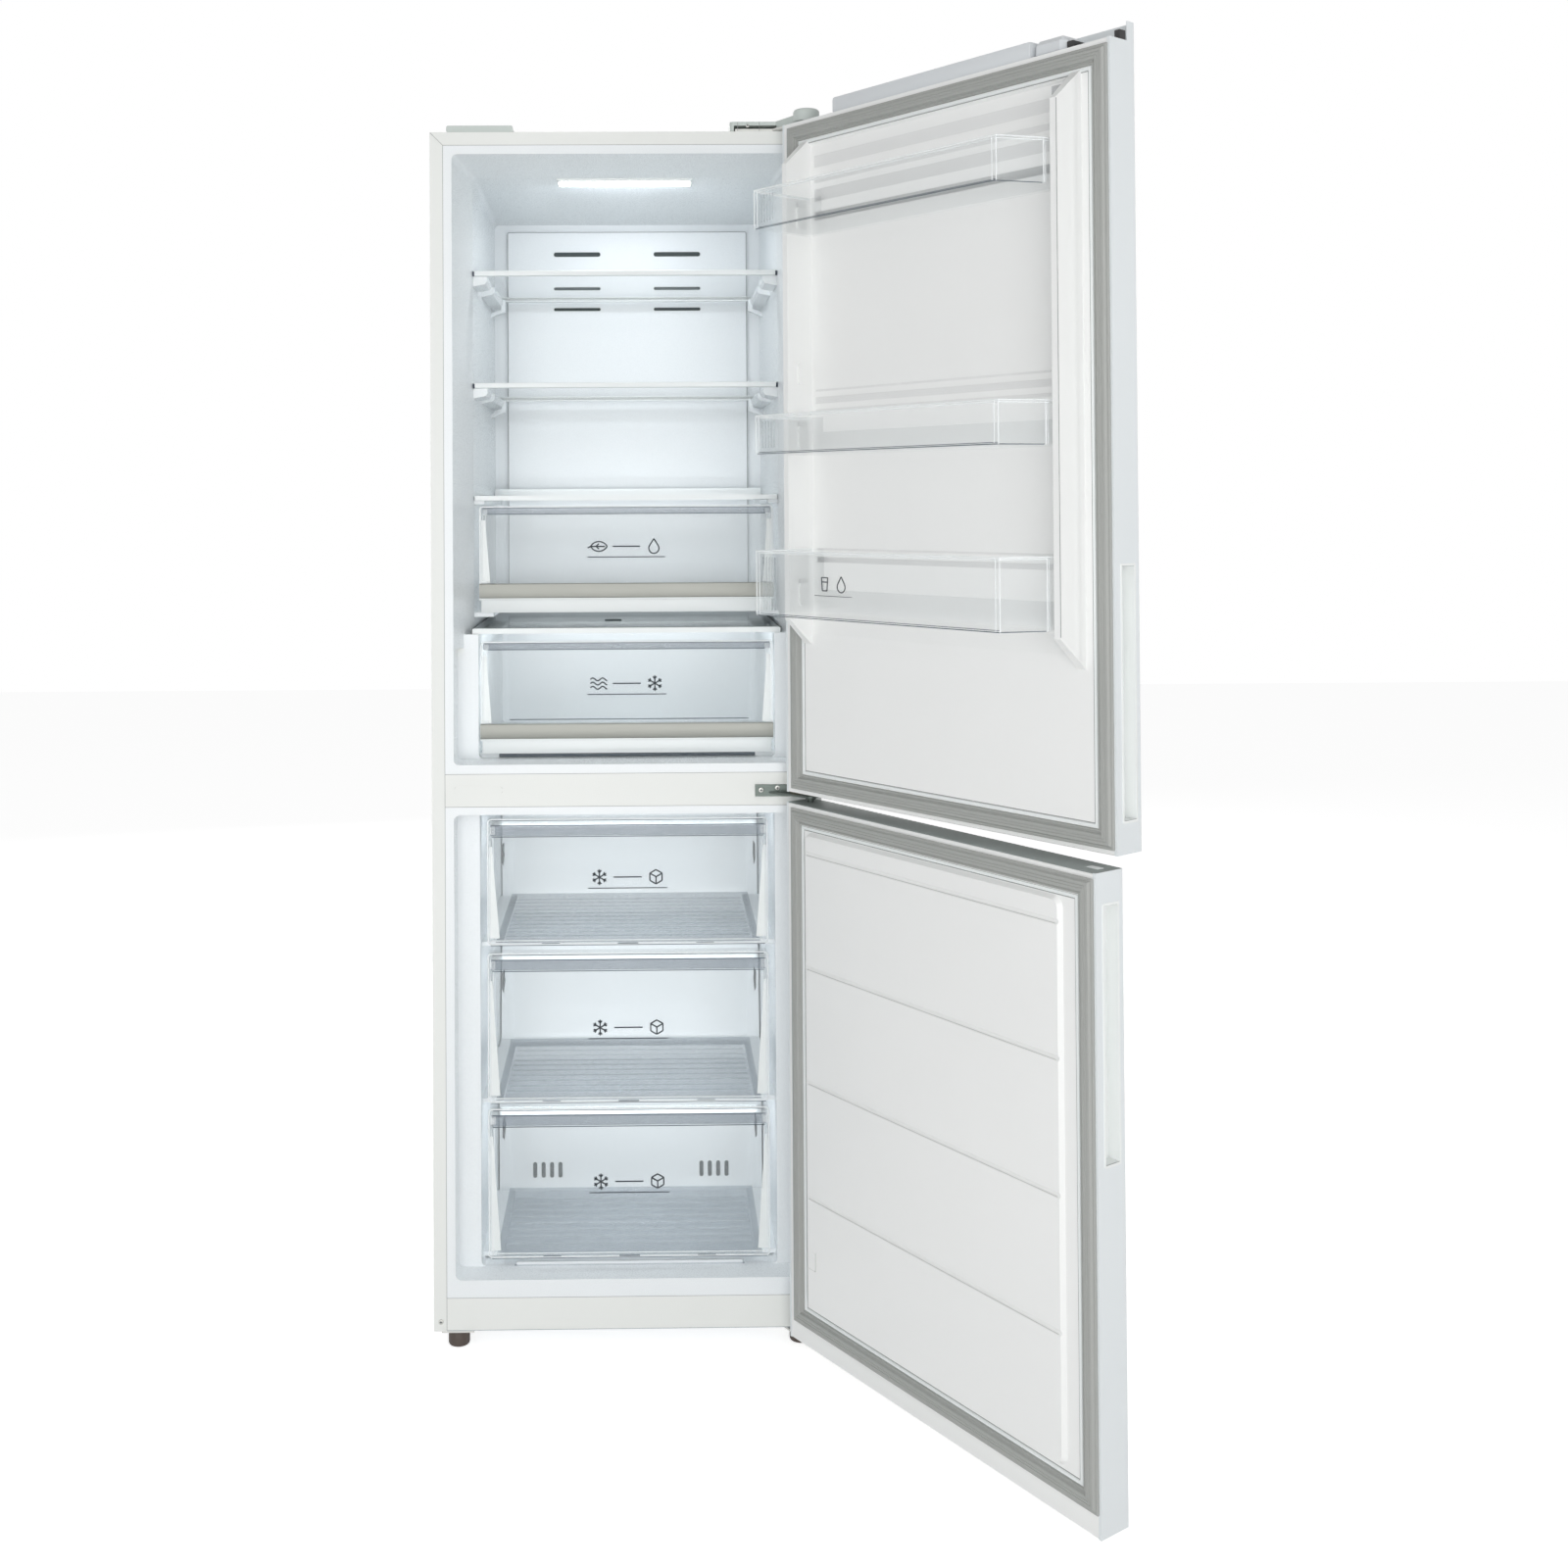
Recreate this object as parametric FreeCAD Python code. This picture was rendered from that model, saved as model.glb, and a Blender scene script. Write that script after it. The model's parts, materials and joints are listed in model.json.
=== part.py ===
import FreeCAD, Part
import math
import os
from FreeCAD import Vector

# Bottom freezer refrigerator, millimetres.
# X runs to the right as seen from the front, Y runs from the cabinet's front face towards its back,
# Z is up. The origin is on the floor, in the middle of the width, under the cabinet's front face.
# Both doors are modelled shut and then swung open about their hinge line.

# ---- driving dimensions ----------------------------------------------------------------------
WIDTH = 595.0
CABINET_DEPTH = 570.0
CABINET_BOTTOM = 28.5
CABINET_TOP = 1855.5
DOOR_SPLIT = 841.75              # height of the middle of the gap between the doors
DOOR_GAP = 15.7
SHEET = 1.0                      # steel skin thickness
FLANGE = 20.0                    # front return flange of the shell
LINER_WALL = 1.6                 # moulded plastic liner
TUBE_SPACE = 6.5                 # gap between side skin and foam, which holds the condenser
GAP = 0.4                        # play between pieces that slide past each other
SEAT = 0.2                       # play between pieces that are clipped together
BEARING_PLAY = 0.05              # radial play of a shaft in its bore
HALF = WIDTH / 2.0

# walls round the two compartments
MOUTH_EDGE = 33.5                # from the cabinet's side to a compartment's mouth
TOP_WALL = 33.8
BACK_WALL = 80.0
WALL_BELOW_SPLIT = 31.55         # from the middle of the door gap to the freezer's ceiling
WALL_ABOVE_SPLIT = 44.55         # from the middle of the door gap to the fridge's floor
LOW_RIM = 12.1                   # heights of the liners' rims on the cabinet's face
HIGH_RIM = 14.0
FLOOR_RIM = 26.6
ROOM_DEPTH = 175.0               # compressor room, measured from the back
ROOM_TOP = 285.0
ROOM_WALL = 50.0                 # insulation in front of the compressor room
ROOM_ROOF = 65.0                 # and over it
OPENING_RADIUS = 8.0
OPENING_HALF = HALF - MOUTH_EDGE
FRIDGE_FLOOR = DOOR_SPLIT + WALL_ABOVE_SPLIT
FRIDGE_TOP = CABINET_TOP - TOP_WALL
FREEZER_FLOOR = 105.0
FREEZER_TOP = DOOR_SPLIT - WALL_BELOW_SPLIT
BEAM_LOW = FREEZER_TOP + LOW_RIM      # visible seams above and below the middle rail
BEAM_HIGH = FRIDGE_FLOOR - HIGH_RIM
BOTTOM_RAIL_TOP = FREEZER_FLOOR - FLOOR_RIM
CAVITY_BACK = CABINET_DEPTH - BACK_WALL
ROOM_FRONT = CABINET_DEPTH - ROOM_DEPTH

# inside of the fridge
THROAT_DEPTH = 115.0             # sloped entry
THROAT_SLOPE = 20.0
CEILING_SLOPE = 14.2
SIDE_DRAFT = 1.5                 # taper of the walls from the entry to the back
CEILING_DRAFT = 12.0
CHILLER_SPACE = 194.7            # height of the narrower part that holds the chiller drawer
CRISPER_SPACE = 209.5
STEP_DEPTH = 58.0
STEP_WIDTH = 12.5
FRIDGE_HALF = OPENING_HALF - THROAT_SLOPE
FRIDGE_BACK_HALF = FRIDGE_HALF - SIDE_DRAFT
FRIDGE_CEILING_FRONT = FRIDGE_TOP - CEILING_SLOPE
FRIDGE_CEILING_BACK = FRIDGE_CEILING_FRONT - CEILING_DRAFT
STEP_TOP = FRIDGE_FLOOR + CHILLER_SPACE
STEP_HALF = FRIDGE_HALF - STEP_WIDTH

# inside of the freezer
FREEZER_STEP = 46.0              # depth at which the side walls come in
FREEZER_WALL = 34.5
FREEZER_DRAFT = 3.0
FREEZER_HALF = OPENING_HALF - FREEZER_WALL
FREEZER_BACK_HALF = FREEZER_HALF - FREEZER_DRAFT
HUMP_FRONT = ROOM_FRONT - ROOM_WALL   # step over the compressor room
HUMP_TOP = ROOM_TOP + ROOM_ROOF

# doors, in their shut position
DOOR_FACE = -58.0                # outer face
DOOR_BACK = -7.0                 # liner side
DOOR_LIP = 4.0
PIVOT_X = HALF - 20.0
PIVOT_Y = DOOR_FACE + 20.7
UPPER_OPEN = 127.5               # degrees from shut to the modelled position
LOWER_OPEN = 123.6
UPPER_BOTTOM = DOOR_SPLIT + DOOR_GAP / 2.0
UPPER_TOP = CABINET_TOP
LOWER_BOTTOM = CABINET_BOTTOM + 6.8
LOWER_TOP = DOOR_SPLIT - DOOR_GAP / 2.0
CREST_HEIGHT = 24.5              # upstand of the upper door that hides the hinge
CREST_TOP = UPPER_TOP + CREST_HEIGHT
CREST_DEPTH = 16.0
CREST_END = PIVOT_X - 41.5       # the upstand stops short of the hinge
CORNER_RADIUS = 3.0
CAP_HEIGHT = 12.0                # plastic end caps of the doors
GASKET_WIDTH = 24.0
GASKET_FRONT = -0.6
GASKET_HINGE_INSET = 11.5
GASKET_FREE_INSET = 2.0
GASKET_BEVEL = 6.0
GASKET_ROOT = 3.0
UPPER_GASKET = (UPPER_BOTTOM + 6.3, UPPER_TOP - 7.1)
LOWER_GASKET = (LOWER_BOTTOM + 28.4, LOWER_TOP - 5.9)

DIKE_INNER = HALF - 57.1         # upright ribs of the upper door's liner
DIKE_CREST = 9.6
DIKE_ROOT = 14.2
DIKE_HEIGHT = 38.0
DIKE_LOW = UPPER_BOTTOM + 222.4
DIKE_HIGH = UPPER_TOP - 30.5
DIKE_SLOPE = 42.0
PANEL_RECESS = 4.0
LUG_DEPTH = 19.0
LUG_HEIGHT = 33.0
LUG_PROUD = 3.0
LUG_RISE = 10.0                  # from a bin's floor to the foot of its lug
SPARE_LUG = DIKE_LOW + 386.5

GRIP_FRONT = DOOR_FACE + 12.0    # finger recess in the free edge of each door
GRIP_BACK = DOOR_FACE + 37.0
GRIP_DEPTH = 17.0
GRIP_WALL = 1.5
GRIP_LENGTH = 313.0
GRIP_END = 41.2                  # from the recess to the gap between the doors
UPPER_GRIP = (UPPER_BOTTOM + GRIP_END, UPPER_BOTTOM + GRIP_END + GRIP_LENGTH)
LOWER_GRIP = (LOWER_TOP - GRIP_END - GRIP_LENGTH, LOWER_TOP - GRIP_END)

PAD_HALF_FREE = HALF - 51.5      # raised panel of the lower door's liner
PAD_HALF_HINGE = HALF - 45.5
PAD_LOW = LOWER_BOTTOM + 62.5
PAD_HIGH = LOWER_TOP - 36.9
PAD_RISE = 6.0
PAD_EDGE_SLOPE = 5.0
FIRST_GROOVE = PAD_LOW + 163.6
GROOVE_PITCH = 168.0
GROOVE_WIDTH = 4.0

# door bins: floor height, height
BINS = {
    "door_bin_top": (DIKE_HIGH - 147.5, 57.0),
    "door_bin_middle": (DIKE_LOW + 281.5, 56.0),
    "door_bin_bottle": (DIKE_LOW + 50.5, 93.0),
}
BIN_HALF = DIKE_INNER - LUG_PROUD - 0.6
BIN_FRONT = 104.0
BIN_BACK = -5.0
BIN_CORNER = 26.0
BIN_CORNER_DEPTH = 58.0
BIN_WALL = 2.2
BIN_BACK_HEIGHT = 34.0

# shelves
SHELF_FRONT = BIN_FRONT + 6.0
SHELF_BACK = CAVITY_BACK - 30.0
SHELF_HALF = FRIDGE_HALF - 0.5
SHELF_BACK_HALF = FRIDGE_BACK_HALF - 2.5
SHELF_TRIM = 12.0
SHELF_TRIM_HEIGHT = 8.5
SHELF_GLASS = 4.0
SHELF_PITCH = 179.75
SHELF_HEADROOM = 120.0           # least room over the highest shelf
REST_REACH = 22.0                # moulded shelf rests on the side walls
REST_DROP = 12.0
FRONT_REST = (8.0, 75.0)         # setback behind the shelf's front, length
REAR_REST = 140.0                # setback behind the shelf's front
REST_SETBACK = 6.0               # before the shelf's back edge
STOP_SETBACK = 44.0              # rear hook, before the shelf's back edge
STOP_DEPTH = 16.0
STOP_WALL = 7.0
CRISPER_SHELF_Z = STEP_TOP + CRISPER_SPACE
CRISPER_SHELF_HEIGHT = 7.3
CRISPER_UPSTAND = 21.0
CHILLER_COVER_FRONT = STEP_DEPTH + 7.0
CHILLER_COVER_HALF = FRIDGE_HALF - 1.0
CHILLER_COVER_HEIGHT = 8.0
CHILLER_GLASS_BACK = 214.0
SLIDER_X = -38.0                 # airflow slider at the left end of its track
SLIDER_Y = 230.0
SLIDER_HALF = 14.0
SLIDER_TRAVEL = 50.0

# air path
DUCT_HALF = FRIDGE_BACK_HALF - 24.5
DUCT_FRONT = CAVITY_BACK - 8.0
DUCT_TOP = FRIDGE_CEILING_BACK - 14.5
DUCT_BOTTOM = STEP_TOP + 19.0
DUCT_WALL = 2.0
DUCT_SLOTS = ((44.7, 8.2), (106.0, 5.5), (144.0, 5.7))   # depth under the panel's top, height
DUCT_SLOT_INNER = 48.5
DUCT_SLOT_OUTER = 134.0
COVER_WALL = 2.0
COVER_LOW_Y = HUMP_FRONT - 25.0
COVER_MID_Y = CAVITY_BACK - 128.0
COVER_TOP_Y = CAVITY_BACK - 95.0
COVER_STEP_Z = HUMP_TOP + 3.0
COVER_BEND_Z = FREEZER_TOP - 218.2
RETURN_SLOTS = (121.0, 14.4, 4)  # first slot, pitch and number on each side
RETURN_SLOT = (7.0, 27.0)
RETURN_SLOT_Z = FREEZER_FLOOR + 37.0
LIGHT_HALF = 109.0
LIGHT_FRONT = THROAT_DEPTH + 3.0
LIGHT_LENGTH = 56.0
LIGHT_BACK = LIGHT_FRONT + LIGHT_LENGTH
LIGHT_DROP = 2.5

FAN_Z = FREEZER_TOP - 104.2
FAN_Y = CAVITY_BACK - 60.0
FAN_RADIUS = 50.0
OUTLET_ROWS = 4                  # air slots above the fan
OUTLET_PITCH = 13.0
OUTLET_SLOT = (12.0, 92.0, 6.0)  # inner end, outer end, height
OUTLET_TOP = FREEZER_TOP - 22.0
FAN_SHAFT = 2.0
FAN_BLADES = 5
EVAPORATOR_Y = CAVITY_BACK - 52.0
EVAPORATOR_LOW = HUMP_TOP + 80.0
EVAPORATOR_PITCH = 22.0
HEATER_Z = HUMP_TOP + 54.0

# drawers: half width, front, back, bottom, top
DRAWER_BACK = CAVITY_BACK - 50.0
FREEZER_DRAWER_HALF = FREEZER_BACK_HALF - 8.0
FREEZER_DRAWER_FRONT = FREEZER_STEP + 4.0
CRISPER = (FRIDGE_HALF - 9.0, SHELF_FRONT + 5.0, DRAWER_BACK, STEP_TOP + 30.45, CRISPER_SHELF_Z - 9.5)
CHILLER = (STEP_HALF - 2.0, STEP_DEPTH + 10.0, DRAWER_BACK, FRIDGE_FLOOR + 7.7, STEP_TOP - 12.5)
FREEZER_DRAWERS = {
    "freezer_drawer_top":
        (FREEZER_DRAWER_HALF, FREEZER_DRAWER_FRONT, COVER_TOP_Y - 10.0, COVER_BEND_Z + 6.5,
         FREEZER_TOP - 15.7),
    "freezer_drawer_middle":
        (FREEZER_DRAWER_HALF, FREEZER_DRAWER_FRONT, COVER_MID_Y - 7.0, HUMP_TOP + 4.5, COVER_BEND_Z - 6.0),
    "freezer_drawer_bottom":
        (FREEZER_DRAWER_HALF, FREEZER_DRAWER_FRONT, COVER_LOW_Y - 8.0, FREEZER_FLOOR + 10.5,
         HUMP_TOP - 4.5),
}
DRAWER_FRONT_WALL = 4.0
DRAWER_WALL = 2.5
DRAWER_SIDE_INSET = 8.5
DRAWER_TAPER = 6.0
HANDLE_RISE = 23.0               # lower edge of the metallic strip above the drawer's bottom
HANDLE_HEIGHT = 23.0
HANDLE_PROUD = 7.0
RAIL_HEIGHT = 7.0
RAIL_REACH = 30.0
SIDE_SLOT_Y = 200.0
SIDE_SLOT = (14.0, 36.0)
SIDE_SLOT_DROP = 88.0

# running gear
FOOT_X = HALF - 36.1
FOOT_Y = 24.0
FOOT_RADIUS = 16.3
FOOT_HEIGHT = CABINET_BOTTOM - 6.5
FOOT_STUD = 5.0
FOOT_BOSS = FOOT_STUD + 4.0
ROLLER_X = HALF - 47.5
ROLLER_Y = CABINET_DEPTH - 40.0
ROLLER_RADIUS = 17.0
ROLLER_WIDTH = 18.0
AXLE_RADIUS = 3.0
EAR_WALL = 2.0                   # ears of the tray that hold the rollers' axles

# hinges and screws
HINGE_PLATE = 3.0
HINGE_PIN = 5.0
HINGE_PIN_LENGTH = 22.0
HINGE_LIFT = 1.5                 # hinge leaf above the door's top
HINGE_ROOT = (PIVOT_X - 105.5, PIVOT_X - 15.5)
HINGE_ROOT_BACK = 62.0
HINGE_COVER = (PIVOT_X - 113.5, PIVOT_X - 13.5)
HINGE_COVER_BACK = 74.0
HINGE_COVER_TOP = CABINET_TOP + 15.5
BLANK_COVER = (-HALF + 25.2, -HALF + 127.4)
BLANK_COVER_TOP = CABINET_TOP + 10.7
COVER_FRONT = 2.0
TOP_SCREWS = (PIVOT_X - 86.2, PIVOT_X - 61.5, PIVOT_X - 36.5)
TOP_SCREW_Y = 26.0
MIDDLE_PLATE = (PIVOT_X - 81.5, PIVOT_X - 19.5)
MIDDLE_SCREWS = ((PIVOT_X - 72.5, DOOR_SPLIT + 4.0), (PIVOT_X - 47.5, DOOR_SPLIT + 7.0))
FLANGE_SCREW = (-HALF + 11.0, CABINET_BOTTOM + 14.5)
SCREW_RADIUS = 4.0
SCREW_HEAD = 2.0

# compressor room
TRAY_Z = CABINET_BOTTOM + 1.5
TRAY_WALL = 1.5
TRAY_BACK = CABINET_DEPTH - 4.0
COMPRESSOR_X = 60.0
COMPRESSOR_Y = CABINET_DEPTH - 90.0
COMPRESSOR_RADIUS = 76.0
COMPRESSOR_HEIGHT = 150.0
COMPRESSOR_LIFT = 14.0           # rubber grommets hold it over the tray
CONTROL_BOX = (-HALF + 22.5, -HALF + 132.5)
CONTROL_BOX_HEIGHT = 78.0
GLAND = (-HALF + 97.5, ROOM_TOP - 40.0)   # place of the mains cable gland in the rear cover
GLAND_RADIUS = 9.0
DRIP_TRAY = (-130.0, -30.0)
DRIP_TRAY_LENGTH = 135.0
DRIP_TRAY_LIFT = 30.0
DRIP_TRAY_HEIGHT = 32.0


# ---- small helpers ---------------------------------------------------------------------------
def block(x0, x1, y0, y1, z0, z1):
    return Part.makeBox(x1 - x0, y1 - y0, z1 - z0, Vector(x0, y0, z0))


def rod(radius, base, direction, length):
    return Part.makeCylinder(radius, length, Vector(*base), Vector(*direction))


def prism(points, extrusion):
    vectors = [Vector(*p) for p in points]
    face = Part.Face(Part.makePolygon(vectors + vectors[:1]))
    return face.extrude(Vector(*extrusion))


def fuse(shapes):
    first = shapes[0]
    joined = first.multiFuse(shapes[1:]) if len(shapes) > 1 else first
    return joined.removeSplitter()


def round_along(shape, axis, radius):
    """Rounds the straight edges that run along one axis."""
    edges = []
    for edge in shape.Edges:
        direction = edge.Vertexes[-1].Point - edge.Vertexes[0].Point
        if direction.Length > 1e-6 and abs(direction.normalize().dot(Vector(*axis))) > 0.9999:
            edges.append(edge)
    return shape.makeFillet(radius, edges)


def round_rect(x0, x1, z0, z1, radius, y):
    """Wire of a rounded rectangle in the plane at depth y."""
    box = block(x0, x1, y, y + 1.0, z0, z1)
    if radius > 0:
        box = round_along(box, (0, 1, 0), radius)
    face = min(box.Faces, key=lambda f: f.CenterOfMass.y)
    return face.OuterWire


def tunnel(sections):
    """Solid through rounded rectangles given as (x0, x1, z0, z1, radius, y)."""
    return Part.makeLoft([round_rect(*s) for s in sections], True, True)


def mirror_x(shape):
    return shape.mirror(Vector(0, 0, 0), Vector(1, 0, 0))


def both_sides(shape):
    return [shape, mirror_x(shape)]


def swing(shape, angle):
    turned = shape.copy()
    turned.rotate(Vector(PIVOT_X, PIVOT_Y, 0), Vector(0, 0, 1), angle)
    return turned


def pipe(points, radius, bend):
    """Round tube through points, with a tangent arc of radius bend at each corner."""
    vectors = [Vector(*p) for p in points]
    edges = []
    start = vectors[0]
    for before, corner, after in zip(vectors, vectors[1:], vectors[2:]):
        into = (corner - before).normalize()
        out = (after - corner).normalize()
        half_turn = into.getAngle(out) / 2.0
        trim = bend * math.tan(half_turn)
        first = corner - into * trim
        last = corner + out * trim
        towards = (out - into).normalize()
        centre = corner + towards * (bend / math.cos(half_turn))
        middle = centre - towards * bend
        edges.append(Part.LineSegment(start, first).toShape())
        edges.append(Part.Arc(first, middle, last).toShape())
        start = last
    edges.append(Part.LineSegment(start, vectors[-1]).toShape())
    path = Part.Wire(edges)
    normal = (vectors[1] - vectors[0]).normalize()
    ring = Part.Wire(Part.Circle(vectors[0], normal, radius).toShape())
    return path.makePipeShell([ring], True, False)


# ---- cabinet ---------------------------------------------------------------------------------
def cabinet_shell():
    outer = block(-HALF, HALF, 0, CABINET_DEPTH, CABINET_BOTTOM, CABINET_TOP)
    outer = round_along(outer, (0, 1, 0), 1.5)
    inside = block(-HALF + SHEET, HALF - SHEET, SHEET, CABINET_DEPTH + 1, CABINET_BOTTOM - 5,
                   CABINET_TOP - SHEET)
    front = block(-HALF + FLANGE, HALF - FLANGE, -1, SHEET + 1, CABINET_BOTTOM - 5, CABINET_TOP - FLANGE)
    below = block(-HALF, HALF, -1, CABINET_DEPTH + 1, CABINET_BOTTOM - 5, CABINET_BOTTOM)
    shell = outer.cut(inside).cut(front).cut(below)
    return shell.cut(rod(1.8, (FLANGE_SCREW[0], -1, FLANGE_SCREW[1]), (0, 1, 0), 5))


def rear_panel():
    inner = HALF - SHEET - SEAT
    panel = block(-inner, inner, CABINET_DEPTH - SHEET, CABINET_DEPTH, ROOM_TOP, CABINET_TOP - SHEET - SEAT)
    return panel


def room_profile(offset):
    """Corner points of the bent bottom plate, seen from the side, moved into the cabinet by offset."""
    slope = 45.0
    return [
        (SHEET + SEAT, CABINET_BOTTOM + offset),
        (ROOM_FRONT - slope - offset * 0.2, CABINET_BOTTOM + offset),
        (ROOM_FRONT - offset, ROOM_TOP + offset),
        (CABINET_DEPTH - SHEET - SEAT, ROOM_TOP + offset),
    ]


def bottom_plate():
    low = room_profile(0.0)
    high = room_profile(SHEET)
    inner = HALF - SHEET - SEAT
    outline = [(-inner, y, z) for y, z in low + high[::-1]]
    plate = prism(outline, (2 * inner, 0, 0))
    return plate.cut(fuse(foot_sockets(FOOT_BOSS + SEAT)))


def compressor_tray():
    inner = HALF - SHEET - SEAT
    front = ROOM_FRONT - 35.0
    floor = block(-inner, inner, front, TRAY_BACK, TRAY_Z, TRAY_Z + TRAY_WALL)
    back = block(-inner, inner, TRAY_BACK - TRAY_WALL, TRAY_BACK, TRAY_Z, TRAY_Z + 22)
    parts = [floor, back]
    reach = ROLLER_WIDTH / 2.0 + 1.5
    for side in (-1, 1):
        centre = side * ROLLER_X
        for ear in (centre - reach - EAR_WALL, centre + reach):
            parts.append(block(ear, ear + EAR_WALL, ROLLER_Y - 14, ROLLER_Y + 14, ROLLER_RADIUS - 6,
                               TRAY_Z + 0.5))
    tray = fuse(parts)
    for side in (-1, 1):
        centre = side * ROLLER_X
        window = block(centre - reach, centre + reach, ROLLER_Y - 20, ROLLER_Y + 20, TRAY_Z - 1, TRAY_Z + 4)
        tray = tray.cut(window)
        axle = rod(AXLE_RADIUS + BEARING_PLAY, (centre - 20, ROLLER_Y, ROLLER_RADIUS), (1, 0, 0), 40)
        tray = tray.cut(axle)
    for x, y in grommet_places():
        tray = tray.cut(rod(6.0, (x, y, TRAY_Z - 1), (0, 0, 1), 4))
    return tray


def grommet_places():
    reach = COMPRESSOR_RADIUS - 6.0
    return [(COMPRESSOR_X + sx * reach, COMPRESSOR_Y + sy * 48.0) for sx in (-1, 1) for sy in (-1, 1)]


def compressor_cover():
    inner = HALF - SHEET - 2 * SEAT
    low = TRAY_Z + 22.5
    high = ROOM_TOP - SEAT
    cover = block(-inner, inner, CABINET_DEPTH - 2.5, CABINET_DEPTH - SHEET, low, high)
    rows = 9
    columns = 7
    pitch_z = 20.0
    pitch_x = 64.0
    start_x = -pitch_x * (columns - 1) / 2.0
    for row in range(rows):
        for column in range(columns):
            x = start_x + column * pitch_x
            z = low + 26.0 + row * pitch_z
            slot = block(x - 22, x + 22, CABINET_DEPTH - 4, CABINET_DEPTH + 1, z - 3, z + 3)
            cover = cover.cut(slot)
    return cover.cut(rod(GLAND_RADIUS, (GLAND[0], CABINET_DEPTH - 10, GLAND[1]), (0, 1, 0), 20))


def foot_sockets(radius):
    return [rod(radius, (x, FOOT_Y, CABINET_BOTTOM - 5), (0, 0, 1), 30) for x in (-FOOT_X, FOOT_X)]


def front_rail(low, high, pads):
    inner = HALF - FLANGE - SEAT
    rail = block(-inner, inner, 0, 1.6, low + SEAT, high - SEAT)
    lip_low = block(-inner, inner, 1.6, 14, low + SEAT, low + SEAT + 1.6)
    lip_high = block(-inner, inner, 1.6, 14, high - SEAT - 1.6, high - SEAT)
    parts = [rail, lip_low, lip_high]
    for x0, x1, z0, z1 in pads:
        pad = block(x0, x1, -0.8, 0.2, z0, z1)
        parts.append(round_along(pad, (0, 1, 0), (z1 - z0) / 2.0 - 0.2))
    return fuse(parts)


def middle_rail():
    middle = (BEAM_LOW + BEAM_HIGH) / 2.0
    pad = (-OPENING_HALF, -OPENING_HALF + 74.5, middle - 4.8, middle + 6.2)
    return front_rail(BEAM_LOW, BEAM_HIGH, [pad])


def bottom_rail():
    return front_rail(CABINET_BOTTOM + 1.6, BOTTOM_RAIL_TOP, [])


def fridge_cavity(grow):
    """Room inside the fridge liner, grown outwards by grow."""
    low = STEP_TOP - 30.0
    radius = OPENING_RADIUS + grow
    upper = tunnel([
        (-OPENING_HALF - grow, OPENING_HALF + grow, low, FRIDGE_TOP + grow, radius, 0.0),
        (-FRIDGE_HALF - grow, FRIDGE_HALF + grow, low, FRIDGE_CEILING_FRONT + grow, radius, THROAT_DEPTH),
        (-FRIDGE_BACK_HALF - grow, FRIDGE_BACK_HALF + grow, low, FRIDGE_CEILING_BACK + grow, radius,
         CAVITY_BACK + grow),
    ])
    upper = upper.cut(block(-HALF, HALF, -1, CABINET_DEPTH, 0, STEP_TOP - grow))
    mouth = OPENING_HALF + grow
    corner = block(-mouth, mouth, 0, STEP_DEPTH + grow, FRIDGE_FLOOR - grow, STEP_TOP + 30)
    corner = round_along(corner, (0, 1, 0), OPENING_RADIUS + grow)
    entry_top = tunnel([
        (-mouth, mouth, STEP_TOP - 40, STEP_TOP + 20, 0.0, 0.0),
        (-mouth + 10, mouth - 10, STEP_TOP - 40, STEP_TOP + 20, 0.0, STEP_DEPTH + grow),
    ])
    lower_front = corner.cut(block(-HALF, HALF, -1, CAVITY_BACK, STEP_TOP - 20,
                                   STEP_TOP + 60)).fuse(entry_top)
    side = STEP_HALF + grow
    lower = block(-side, side, 0, CAVITY_BACK + grow, FRIDGE_FLOOR - grow, STEP_TOP + 10)
    lower = round_along(lower, (0, 1, 0), OPENING_RADIUS)
    return fuse([upper, lower_front, lower])


def shelf_rest(wall, top, y0, y1):
    """Moulded rest along one side wall, its underside sloping up from the wall."""
    tip = wall - REST_REACH
    low = top - REST_DROP
    outline = [(wall + 1, y0, top), (tip, y0, top), (tip, y0, low + 4), (tip + 3, y0, low),
               (wall + 1, y0, low - 4)]
    return prism(outline, (0, y1 - y0, 0))


def shelf_stop(wall, top):
    """Hook at the rear end of a rest: an upright bar with a foot that slopes down to the wall."""
    tip = wall - REST_REACH - 4.0
    inner = tip + STOP_WALL
    y0 = SHELF_BACK - STOP_SETBACK
    low = top - 1.5 * REST_DROP
    outline = [(tip, y0, top), (inner, y0, top), (inner, y0, low), (wall + 1, y0, low - 7),
               (wall + 1, y0, low - 7 - STOP_WALL), (tip, y0, low - 3)]
    return prism(outline, (0, STOP_DEPTH, 0))


def shelf_rests(wall, top):
    setback, length = FRONT_REST
    front = SHELF_FRONT + setback
    rear = SHELF_FRONT + REAR_REST
    return [shelf_rest(wall, top, front, front + length), shelf_rest(wall, top, rear, SHELF_BACK - REST_SETBACK),
            shelf_stop(wall, top)]


def shelf_heights():
    count = int((FRIDGE_CEILING_BACK - SHELF_HEADROOM - CRISPER_SHELF_Z) / SHELF_PITCH)
    return [CRISPER_SHELF_Z + SHELF_PITCH * (number + 1) for number in range(count)]


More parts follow.
